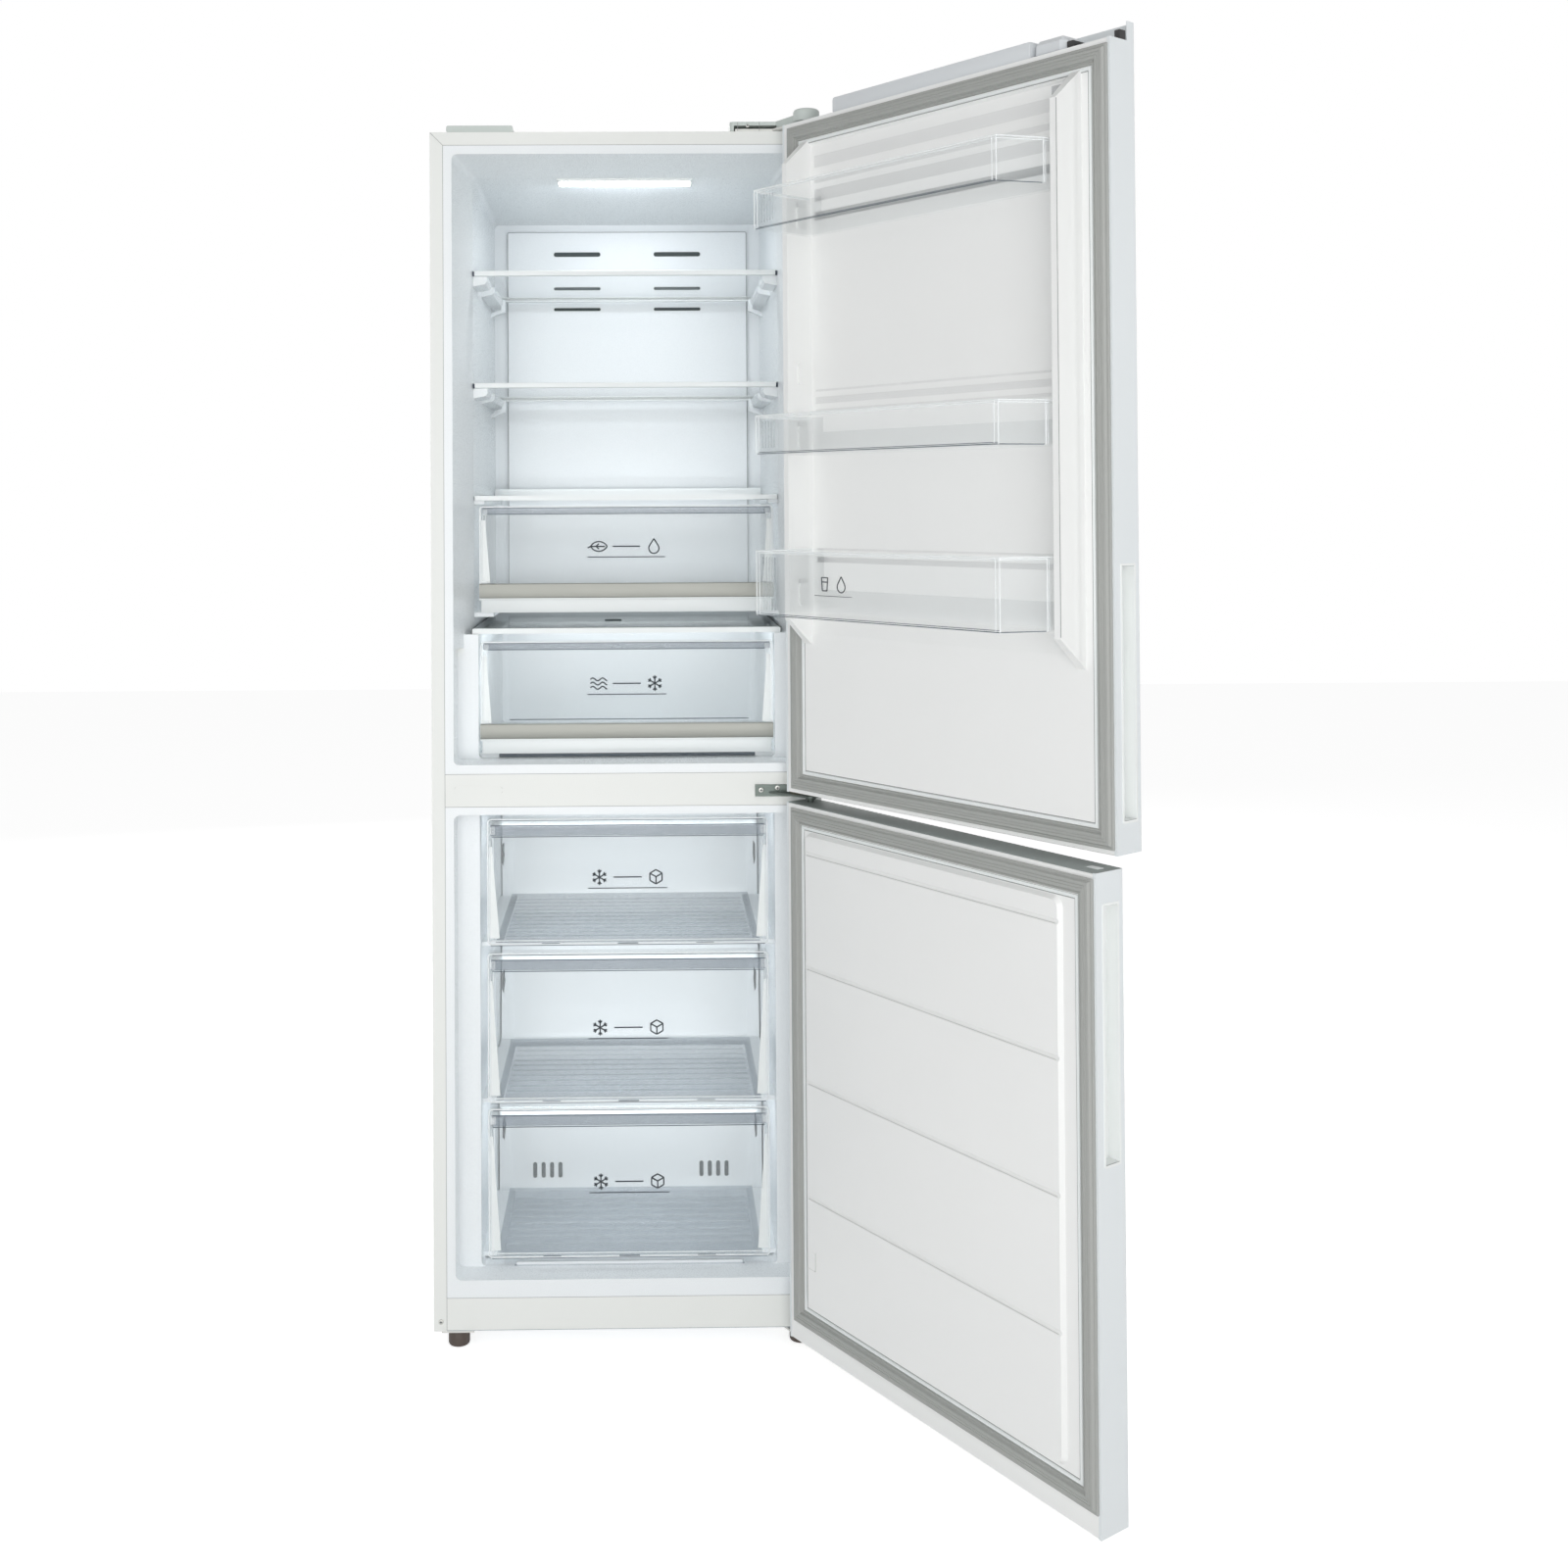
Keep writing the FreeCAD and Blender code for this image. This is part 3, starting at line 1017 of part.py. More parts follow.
def dike(grow):
    """Upright rib of the upper door's liner, on the hinge side, shrunk by -grow."""
    low = DIKE_LOW - grow
    high = DIKE_HIGH + grow
    crest_y = DIKE_HEIGHT + grow
    inner = DIKE_INNER - grow
    base = [(inner, DOOR_BACK - 2, low), (inner + DIKE_ROOT + 2 * grow, DOOR_BACK - 2, low),
            (inner + DIKE_ROOT + 2 * grow, DOOR_BACK - 2, high), (inner, DOOR_BACK - 2, high)]
    crest = [(inner, crest_y, low + DIKE_SLOPE), (inner + DIKE_CREST + 2 * grow, crest_y, low + DIKE_SLOPE),
             (inner + DIKE_CREST + 2 * grow, crest_y, high - DIKE_SLOPE),
             (inner, crest_y, high - DIKE_SLOPE)]
    wires = [Part.makePolygon([Vector(*p) for p in ring + ring[:1]]) for ring in (base, crest)]
    return Part.makeLoft(wires, True, True)


def recess_solid(shift):
    """Shallow recess between the two ribs, moved by shift along Y."""
    deep = DOOR_BACK - PANEL_RECESS + shift
    front = DOOR_BACK + 3 + shift
    outline = [(-DIKE_INNER, front, DIKE_HIGH - 6), (-DIKE_INNER, deep, DIKE_HIGH - 11),
               (-DIKE_INNER, deep, DIKE_LOW + DIKE_SLOPE), (-DIKE_INNER, front, DIKE_LOW)]
    return prism(outline, (2 * DIKE_INNER, 0, 0))


def lugs():
    boxes = []
    heights = [floor + LUG_RISE for floor, _ in BINS.values()] + [SPARE_LUG]
    for z in heights:
        lug = block(DIKE_INNER - LUG_PROUD, DIKE_INNER + 0.8, 0.0, LUG_DEPTH, z, z + LUG_HEIGHT)
        lug = round_along(lug, (1, 0, 0), 5.0)
        boxes += both_sides(lug)
    return boxes


def upper_door_liner():
    edge = DOOR_LIP + SEAT
    plate = block(-HALF + edge, HALF - edge, DOOR_BACK - LINER_WALL, DOOR_BACK, UPPER_BOTTOM + 1,
                  UPPER_TOP - 1)
    deep = DOOR_BACK - PANEL_RECESS - LINER_WALL
    half = DIKE_INNER + LINER_WALL
    backing = block(-half, half, deep, DOOR_BACK - LINER_WALL + 0.2, DIKE_LOW - 4, DIKE_HIGH - 4)
    ribs = []
    for rib in both_sides(dike(0.0)):
        ribs.append(rib)
    liner = fuse([plate, backing] + ribs).cut(recess_solid(0.0))
    hollow = dike(-LINER_WALL)
    hollow = fuse([hollow, hollow.translated(Vector(0, -4, 0))])
    for cut in both_sides(hollow):
        liner = liner.cut(cut)
    return fuse([liner] + lugs())


def upper_door_foam():
    cores = []
    for core in both_sides(dike(-LINER_WALL - SEAT)):
        cores.append(core.common(block(-HALF, HALF, DOOR_BACK - 2, DIKE_HEIGHT, UPPER_BOTTOM, UPPER_TOP)))
    cores = [c.fuse(c.translated(Vector(0, -3, 0))) for c in cores]
    foam = door_foam(UPPER_BOTTOM, UPPER_TOP, UPPER_GRIP, cores)
    half = DIKE_INNER + LINER_WALL + SEAT
    deep = DOOR_BACK - PANEL_RECESS - LINER_WALL - SEAT
    pocket = block(-half, half, deep, DOOR_BACK + 9, DIKE_LOW - 4 - SEAT, DIKE_HIGH - 4 + SEAT)
    return foam.cut(pocket)


def upper_door_top_cap():
    top = UPPER_TOP
    plate = end_cap(top - CAP_HEIGHT, top)
    x0 = -HALF + 72.5
    x1 = CREST_END - 41.0
    raised = block(x0, x1, DOOR_FACE + SHEET + SEAT, DOOR_BACK - 3.0, top - 1, CREST_TOP - 1.5)
    raised = round_along(raised, (0, 0, 1), 4.0)
    room = block(x0 + 10, x1 - 10, DOOR_FACE + 6, DOOR_BACK - 8.0, top - 3, CREST_TOP - 4.0)
    cap = fuse([plate, raised]).cut(room)
    bush = rod(HINGE_PIN + 4.5, (PIVOT_X, PIVOT_Y, top - 28), (0, 0, 1), 28)
    return fuse([cap, bush]).cut(bush_hole(top - 24, top + 5))


def upper_door_bottom_cap():
    bottom = UPPER_BOTTOM
    bush = rod(HINGE_PIN + 4.5, (PIVOT_X, PIVOT_Y, bottom), (0, 0, 1), 28)
    return fuse([end_cap(bottom, bottom + CAP_HEIGHT), bush]).cut(bush_hole(bottom - 5, bottom + 24))


def lower_door_top_cap():
    top = LOWER_TOP
    bush = rod(HINGE_PIN + 4.5, (PIVOT_X, PIVOT_Y, top - 28), (0, 0, 1), 28)
    return fuse([end_cap(top - CAP_HEIGHT, top), bush]).cut(bush_hole(top - 24, top + 5))


def lower_door_bottom_cap():
    bottom = LOWER_BOTTOM
    bush = rod(HINGE_PIN + 4.5, (PIVOT_X, PIVOT_Y, bottom), (0, 0, 1), 28)
    return fuse([end_cap(bottom, bottom + CAP_HEIGHT), bush]).cut(bush_hole(bottom - 5, bottom + 24))


def lower_door_liner():
    edge = DOOR_LIP + SEAT
    plate = block(-HALF + edge, HALF - edge, DOOR_BACK - LINER_WALL, DOOR_BACK, LOWER_BOTTOM + 1,
                  LOWER_TOP - 1)
    slope = PAD_EDGE_SLOPE
    x0 = -PAD_HALF_FREE
    x1 = PAD_HALF_HINGE
    pad = tunnel([
        (x0, x1, PAD_LOW, PAD_HIGH, 14.0, DOOR_BACK - 0.5),
        (x0 + slope, x1 - slope, PAD_LOW + slope, PAD_HIGH - slope, 10.0, DOOR_BACK + PAD_RISE),
    ])
    liner = fuse([plate, pad])
    count = 1 + int((PAD_HIGH - FIRST_GROOVE - 20.0) / GROOVE_PITCH)
    for number in range(count):
        z = FIRST_GROOVE + number * GROOVE_PITCH
        groove = rod(GROOVE_WIDTH, (-PAD_HALF_FREE - 5, DOOR_BACK + PAD_RISE + 2.2, z), (1, 0, 0), 2 * HALF)
        liner = liner.cut(groove)
    x1 = PAD_HALF_HINGE - 8.0
    z0 = PAD_LOW + 60.2
    boss = block(x1 - 14.0, x1, DOOR_BACK + PAD_RISE - 1, DOOR_BACK + PAD_RISE + 0.8, z0, z0 + 26.0)
    return fuse([liner, round_along(boss, (0, 1, 0), 3.0)])


def door_bin(floor, height):
    def tub(inset, low, high):
        edge = BIN_HALF - inset
        corner = BIN_CORNER
        front = BIN_FRONT - inset
        turn = BIN_FRONT - BIN_CORNER_DEPTH
        outline = [(-edge, BIN_BACK + inset, low), (edge, BIN_BACK + inset, low), (edge, front, low),
                   (-edge + corner, front, low), (-edge, turn, low)]
        return prism(outline, (0, 0, high - low))

    body = tub(0.0, floor, floor + height)
    body = body.cut(tub(BIN_WALL, floor + BIN_WALL, floor + height + 5))
    half = BIN_HALF - 25
    back = BIN_BACK + BIN_WALL + 1
    back_cut = block(-half, half, BIN_BACK - 1, back, floor + BIN_BACK_HEIGHT, floor + height + 5)
    body = body.cut(back_cut)
    lug_top = floor + LUG_RISE + LUG_HEIGHT + GAP
    hook = block(BIN_HALF - 0.8, DIKE_INNER - GAP, 0.0, LUG_DEPTH, lug_top, lug_top + 6)
    rim = tub(-1.2, floor + height - 3, floor + height).cut(tub(BIN_WALL, floor, floor + height + 5))
    keep = block(-BIN_HALF - 5, BIN_HALF + 5, LUG_DEPTH + 25, BIN_FRONT + 0.01, floor, floor + height)
    return fuse([body, rim.common(keep)] + both_sides(hook))


# ---- shelves ---------------------------------------------------------------------------------
def shelf_sheet(z):
    low = z + (SHELF_TRIM_HEIGHT - SHELF_GLASS) / 2.0
    inset = SHELF_TRIM / 2.0
    half = SHELF_BACK_HALF - 2
    return block(-half, half, SHELF_FRONT + inset, SHELF_BACK - inset, low, low + SHELF_GLASS)


def slotted(bar, sheet):
    box = sheet.BoundBox
    box.enlarge(SEAT)
    return bar.cut(block(box.XMin, box.XMax, box.YMin, box.YMax, box.ZMin, box.ZMax))


def shelf_trims(z):
    front = block(-SHELF_HALF, SHELF_HALF, SHELF_FRONT, SHELF_FRONT + SHELF_TRIM, z, z + SHELF_TRIM_HEIGHT)
    front = round_along(front, (1, 0, 0), 2.0)
    half = SHELF_BACK_HALF
    back = block(-half, half, SHELF_BACK - SHELF_TRIM, SHELF_BACK, z, z + SHELF_TRIM_HEIGHT)
    sheet = shelf_sheet(z)
    return [slotted(front, sheet), slotted(back, sheet)]


def crisper_sheet():
    z = CRISPER_SHELF_Z
    half = SHELF_BACK_HALF - 8
    return block(-half, half, SHELF_FRONT + 10, SHELF_BACK - 16, z + 2, z + 2 + SHELF_GLASS)


def crisper_frame():
    z = CRISPER_SHELF_Z
    top = z + CRISPER_SHELF_HEIGHT
    outer = block(-SHELF_BACK_HALF, SHELF_BACK_HALF, SHELF_FRONT + 3, SHELF_BACK - 6, z, top)
    front = block(-SHELF_HALF + 1.5, SHELF_HALF - 1.5, SHELF_FRONT + 2, SHELF_FRONT + 14, z, top)
    upstand = block(-SHELF_BACK_HALF, SHELF_BACK_HALF, SHELF_BACK - 10, SHELF_BACK - 6, z,
                    z + CRISPER_UPSTAND)
    half = SHELF_BACK_HALF - 16
    window = block(-half, half, SHELF_FRONT + 18, SHELF_BACK - 24, z - 1, z + 20)
    return slotted(fuse([outer, front, upstand]).cut(window), crisper_sheet())


def chiller_sheet():
    half = CHILLER_COVER_HALF - 8
    z = STEP_TOP + SEAT + 2.0
    return block(-half, half, CHILLER_COVER_FRONT + 8, CHILLER_GLASS_BACK, z, z + SHELF_GLASS)


def chiller_frame():
    z = STEP_TOP + SEAT
    half = CHILLER_COVER_HALF - 2.5
    top = z + CHILLER_COVER_HEIGHT
    outer = block(-half, half, CHILLER_COVER_FRONT + 4, SHELF_BACK - 8, z, top)
    edge = CHILLER_COVER_HALF
    front = block(-edge, edge, CHILLER_COVER_FRONT, CHILLER_COVER_FRONT + 12, z, top)
    window = block(-half + 14, half - 14, CHILLER_COVER_FRONT + 14, CHILLER_GLASS_BACK - 6, z - 1, top + 1)
    frame = slotted(fuse([outer, front]).cut(window), chiller_sheet())
    track_end = SLIDER_X + 2 * SLIDER_HALF + SLIDER_TRAVEL + 10.0
    track = block(SLIDER_X - 2.0, track_end, SLIDER_Y - 5.0, SLIDER_Y + 5.0, top - 3.0, top + 1)
    return frame.cut(track)


def airflow_slider():
    top = STEP_TOP + SEAT + CHILLER_COVER_HEIGHT
    middle = SLIDER_X + SLIDER_HALF
    half = 5.0 - GAP
    base = block(SLIDER_X, middle + SLIDER_HALF, SLIDER_Y - half, SLIDER_Y + half, top - 3.0 + GAP,
                 top - 0.5)
    nib = block(middle - 3, middle + 3, SLIDER_Y - 4, SLIDER_Y + 4, top - 1, top + 2.5)
    return fuse([base, nib])


# ---- drawers ---------------------------------------------------------------------------------
def drawer_tub(half, front, back, bottom, top, depth_below_rim):
    side = half - DRAWER_SIDE_INSET
    low = side - DRAWER_TAPER
    rim = top - depth_below_rim

    def basin(inset, z0, z1):
        shift = DRAWER_TAPER * (z0 - bottom) / (rim - bottom)
        x_low = low + shift - inset
        rings = []
        for x, y1, z in ((x_low, back - DRAWER_TAPER - inset, z0), (side - inset, back - inset, z1)):
            corners = [(-x, front + inset, z), (x, front + inset, z), (x, y1, z), (-x, y1, z)]
            rings.append(Part.makePolygon([Vector(*c) for c in corners + corners[:1]]))
        return Part.makeLoft(rings, True, True)

    tub = basin(0.0, bottom, rim).cut(basin(DRAWER_WALL, bottom + DRAWER_WALL, rim + 0.01))
    hollow = side - DRAWER_WALL
    flange = block(-side - 4, side + 4, front, back + 4, rim - DRAWER_WALL, rim)
    flange = flange.cut(block(-hollow, hollow, front - 1, back - DRAWER_WALL, bottom, top + 10))
    return fuse([tub, flange])


def fridge_drawer(sizes):
    half, front, back, bottom, top = sizes
    tub = drawer_tub(half, front, back, bottom, top, 8.0)
    panel = block(-half, half, front, front + DRAWER_FRONT_WALL, bottom, top)
    lip = block(-half, half, front, front + 14.0, top - 3.0, top)
    return fuse([tub, round_along(panel, (0, 1, 0), 3.0), lip])


def fridge_handle(sizes):
    half, front, back, bottom, top = sizes
    low = bottom + HANDLE_RISE
    strip = block(-half, half, front - HANDLE_PROUD, front - SEAT, low, low + HANDLE_HEIGHT)
    strip = round_along(strip, (1, 0, 0), 2.5)
    band = block(-half + 3, half - 3, front - 3.0, front - SEAT, bottom, low + 2)
    return fuse([strip, band])


def freezer_drawer(sizes):
    half, front, back, bottom, top = sizes
    tub = drawer_tub(half, front, back, bottom, top, 14.0)
    panel = block(-half, half, front, front + DRAWER_FRONT_WALL, bottom, top)
    lip = block(-half + 2, half - 2, front, front + 20.0, top - 3.0, top)
    curl = block(-half + 2, half - 2, front + 17.0, front + 20.0, top - 16.0, top)
    drawer = fuse([tub, round_along(panel, (0, 1, 0), 5.0), lip, curl])
    width, height = SIDE_SLOT
    slot_top = top - SIDE_SLOT_DROP + 18.0
    slot = block(-half, half, SIDE_SLOT_Y - width / 2.0, SIDE_SLOT_Y + width / 2.0, slot_top - height,
                 slot_top)
    return drawer.cut(round_along(slot, (1, 0, 0), width / 2.0 - 0.2))


# ---- assembly --------------------------------------------------------------------------------
def cabinet_nodes():
    return {
        "cabinet_shell": cabinet_shell(),
        "rear_panel": rear_panel(),
        "bottom_plate": bottom_plate(),
        "compressor_tray": compressor_tray(),
        "compressor_cover": compressor_cover(),
        "bottom_rail": bottom_rail(),
        "middle_rail": middle_rail(),
        "fridge_liner": fridge_liner(),
        "freezer_liner": freezer_liner(),
        "cabinet_foam": cabinet_foam(),
        "air_duct_panel": air_duct_panel(),
        "light_diffuser": light_diffuser(),
        "evaporator_cover": evaporator_cover(),
        "evaporator": evaporator(),
        "defrost_heater": defrost_heater(),
        "fan_motor": fan_motor(),
        "fan_impeller": fan_impeller(),
        "compressor": compressor(),
        "compressor_grommets": compressor_grommets(),
        "condenser_coil": condenser_coil(),
        "refrigerant_pipes": refrigerant_pipes(),
        "drip_tray": drip_tray(),
        "control_box": control_box(),
        "top_hinge": top_hinge(),
        "hinge_covers": Part.makeCompound([top_hinge_cover(), blank_hinge_cover()]),
        "middle_hinge": middle_hinge(),
        "bottom_hinge": Part.makeCompound([bottom_hinge(), foot_nut()]),
        "cabinet_screws": cabinet_screws(),
        "front_foot_left": levelling_foot(-1),
        "front_foot_right": levelling_foot(1),
        "rear_roller_left": roller(-1),
        "rear_roller_right": roller(1),
        "roller_axles": roller_axles(),
    }


def shelf_nodes():
    sheets = [shelf_sheet(z) for z in shelf_heights()] + [crisper_sheet(), chiller_sheet()]
    trims = []
    for z in shelf_heights():
        trims += shelf_trims(z)
    trims += [crisper_frame(), chiller_frame()]
    return {
        "shelf_glass": Part.makeCompound(sheets),
        "shelf_trims": Part.makeCompound(trims),
        "airflow_slider": airflow_slider(),
    }


def drawer_nodes():
    nodes = {
        "crisper_drawer": fridge_drawer(CRISPER),
        "crisper_handle": fridge_handle(CRISPER),
        "chiller_drawer": fridge_drawer(CHILLER),
        "chiller_handle": fridge_handle(CHILLER),
    }
    for name, sizes in FREEZER_DRAWERS.items():
        nodes[name] = freezer_drawer(sizes)
    return nodes


def upper_door_nodes():
    skin = door_skin(UPPER_BOTTOM, UPPER_TOP, CREST_TOP)
    nodes = {
        "upper_door_panel": skin.cut(grip_hole(UPPER_GRIP[0], UPPER_GRIP[1], GRIP_WALL + SEAT)),
        "upper_door_liner": upper_door_liner(),
        "upper_door_foam": upper_door_foam(),
        "upper_door_top_cap": upper_door_top_cap(),
        "upper_door_bottom_cap": upper_door_bottom_cap(),
        "upper_door_gasket": gasket(*UPPER_GASKET),
        "upper_door_grip": grip_insert(UPPER_GRIP),
    }
    for name, (floor, height) in BINS.items():
        nodes[name] = door_bin(floor, height)
    return {name: swing(shape, UPPER_OPEN) for name, shape in nodes.items()}


def lower_door_nodes():
    skin = door_skin(LOWER_BOTTOM, LOWER_TOP, LOWER_TOP)
    nodes = {
        "lower_door_panel": skin.cut(grip_hole(LOWER_GRIP[0], LOWER_GRIP[1], GRIP_WALL + SEAT)),
        "lower_door_liner": lower_door_liner(),
        "lower_door_foam": door_foam(LOWER_BOTTOM, LOWER_TOP, LOWER_GRIP, []),
        "lower_door_top_cap": lower_door_top_cap(),
        "lower_door_bottom_cap": lower_door_bottom_cap(),
        "lower_door_gasket": gasket(*LOWER_GASKET),
        "lower_door_grip": grip_insert(LOWER_GRIP),
    }
    return {name: swing(shape, LOWER_OPEN) for name, shape in nodes.items()}


def main():
    os.makedirs("parts", exist_ok=True)
    for group in (cabinet_nodes, shelf_nodes, drawer_nodes, upper_door_nodes, lower_door_nodes):
        for name, shape in group().items():
            shape.exportStep("parts/" + name + ".step")
            print(name, len(shape.Solids), round(shape.Volume / 1000.0, 1), shape.isValid())


main()
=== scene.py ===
import json
import math

import bmesh
import bpy
from mathutils import Matrix, Vector

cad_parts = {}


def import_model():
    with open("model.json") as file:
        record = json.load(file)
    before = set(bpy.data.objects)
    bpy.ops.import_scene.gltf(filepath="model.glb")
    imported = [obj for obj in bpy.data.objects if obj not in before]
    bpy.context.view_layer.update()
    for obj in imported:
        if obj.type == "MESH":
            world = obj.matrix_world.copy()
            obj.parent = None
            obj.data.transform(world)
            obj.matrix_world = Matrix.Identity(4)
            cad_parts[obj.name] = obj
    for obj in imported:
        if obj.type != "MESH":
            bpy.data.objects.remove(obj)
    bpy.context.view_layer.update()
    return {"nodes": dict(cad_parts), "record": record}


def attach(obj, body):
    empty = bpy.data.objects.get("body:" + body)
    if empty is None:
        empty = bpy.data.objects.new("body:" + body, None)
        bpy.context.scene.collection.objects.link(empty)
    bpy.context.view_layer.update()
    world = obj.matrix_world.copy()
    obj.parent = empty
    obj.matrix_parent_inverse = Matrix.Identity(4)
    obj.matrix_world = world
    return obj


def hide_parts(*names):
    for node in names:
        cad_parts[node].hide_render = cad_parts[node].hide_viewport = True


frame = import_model()
MM = 0.001

# ---- places on the CAD model, in millimetres with the doors shut and the drawers in -------------------
PIVOT = Vector((277.5, -37.3, 0.0))
OPEN_ANGLES = {"upper": math.radians(127.5), "lower": math.radians(123.6)}
SIDES = (-1, 1)

FLANGE_HALF = 277.5                # seams between the cabinet's flange and the liners
FRONT_SEAMS = (78.4, 822.3, 872.3, 1835.5)
CORNER = (296.9, 1854.9)           # outer end of the mitre at the top corners
BEAM_PAD = (-264.0, -189.5, 842.5, 853.5)

GASKET_FREE, GASKET_HINGE = -295.5, 286.0
GASKET_HEIGHTS = (("upper", 855.9, 1848.4), ("lower", 63.7, 828.0))
GRIP_FACE = -297.0
GRIP_FRONT, GRIP_BACK = -46.5, -20.5
UPPER_GRIP = (890.8, 1203.8)
LOWER_GRIP = (479.7, 792.7)
PAD_GROOVES = (261.4, 429.4, 597.4, 765.4)
RIB_EDGES = (-240.6, -250.4)       # both edges of the upper door's free rib
RIB_CREST = 37.6
RIB_ENDS = (1116.0, 1782.0)
DOOR_RECESS = -10.3                # face between the upper door's ribs

# drawers: half width, front, back, bottom, top
CRISPER = (235.0, 115.0, 440.0, 1111.5, 1281.0)
CHILLER = (229.5, 68.0, 440.0, 894.0, 1068.5)
FREEZER = {
    "top": (218.5, 50.0, 385.0, 598.5, 794.5),
    "middle": (218.5, 50.0, 355.0, 354.5, 586.0),
    "bottom": (218.5, 50.0, 312.0, 115.5, 345.5),
}

# door bins: floor, height, body
BINS = {
    "door_bin_top": (1677.5, 57.0, "top_bin"),
    "door_bin_middle": (1353.5, 56.0, "middle_bin"),
    "door_bin_bottle": (1122.5, 93.0, "bottle_bin"),
}
BIN_PATH = [(237.0, -4.0), (237.0, 104.2), (-210.9, 104.2), (-237.0, 46.0), (-237.0, -4.0)]

SHELVES = (1470.25, 1650.0)
SHELF_HALF, SHELF_FRONT = 242.4, 109.6
CHILLER_COVER = 1089.2             # upper face of the chiller's glass cover
DUCT_FACE = 482.0
DUCT_PANEL = (-218.6, 218.6, 1099.5, 1781.5)
DUCT_SLOTS = ((1736.3, 8.2), (1675.0, 5.5), (1637.0, 5.7))
RETURN_FACE = 320.0
RETURN_SLOTS = [side * (121.0 + 14.4 * k) for k in range(4) for side in SIDES]
FEET = ((-261.4, "left"), (261.4, "right"))
FOOT_Y = 24.0


# ---- colours and materials ------------------------------------------------------------------------
def linear(value):
    value /= 255.0
    return value / 12.92 if value <= 0.04045 else ((value + 0.055) / 1.055) ** 2.4


def rgb(r, g, b):
    return (linear(r), linear(g), linear(b), 1.0)


def node(tree, kind, **values):
    made = tree.nodes.new(kind)
    for key, value in values.items():
        if key.startswith("_"):
            setattr(made, key[1:], value)
        else:
            made.inputs[key.replace("__", " ")].default_value = value
    return made


def new_material(name):
    mat = bpy.data.materials.new(name)
    mat.use_nodes = True
    tree = mat.node_tree
    shader = tree.nodes["Principled BSDF"]
    return mat, tree, shader


def stretched(tree, scale):
    coords = node(tree, "ShaderNodeTexCoord")
    mapping = node(tree, "ShaderNodeMapping", Scale=scale)
    tree.links.new(coords.outputs["Object"], mapping.inputs["Vector"])
    return mapping.outputs["Vector"]


GLOSS_SPREAD = 0.06


def surface(name, screen, rough, metal=0.0, grain=400.0, bump=0.0, mottle=0.03, alpha=1.0,
            stretch=(1, 1, 1), coat=0.0, emit=0.0):
    """Plastic, paint or metal with a fine relief, a slow change of tone and an uneven gloss."""
    colour = rgb(*screen)
    mat, tree, shader = new_material(name)
    vector = stretched(tree, stretch)
    fine = node(tree, "ShaderNodeTexNoise", Scale=grain, Detail=3.0)
    slow = node(tree, "ShaderNodeTexNoise", Scale=6.0, Detail=2.0)
    for tex in (fine, slow):
        tree.links.new(vector, tex.inputs["Vector"])
    low = tuple(c * (1.0 - mottle) for c in colour[:3]) + (1.0,)
    high = tuple(min(1.0, c * (1.0 + mottle)) for c in colour[:3]) + (1.0,)
    tone = node(tree, "ShaderNodeMix", _data_type="RGBA")
    tone.inputs[6].default_value = low
    tone.inputs[7].default_value = high
    tree.links.new(slow.outputs["Fac"], tone.inputs[0])
    tree.links.new(tone.outputs[2], shader.inputs["Base Color"])
    gloss = node(tree, "ShaderNodeMapRange")
    gloss.inputs["To Min"].default_value = max(0.02, rough - GLOSS_SPREAD)
    gloss.inputs["To Max"].default_value = min(1.0, rough + GLOSS_SPREAD)
    tree.links.new(fine.outputs["Fac"], gloss.inputs["Value"])
    tree.links.new(gloss.outputs["Result"], shader.inputs["Roughness"])
    relief = node(tree, "ShaderNodeBump", Strength=bump, Distance=0.0006)
    tree.links.new(fine.outputs["Fac"], relief.inputs["Height"])
    tree.links.new(relief.outputs["Normal"], shader.inputs["Normal"])
    shader.inputs["Metallic"].default_value = metal
    shader.inputs["Alpha"].default_value = alpha
    shader.inputs["Coat Weight"].default_value = coat
    if emit:
        shader.inputs["Emission Color"].default_value = colour
        shader.inputs["Emission Strength"].default_value = emit
    return mat


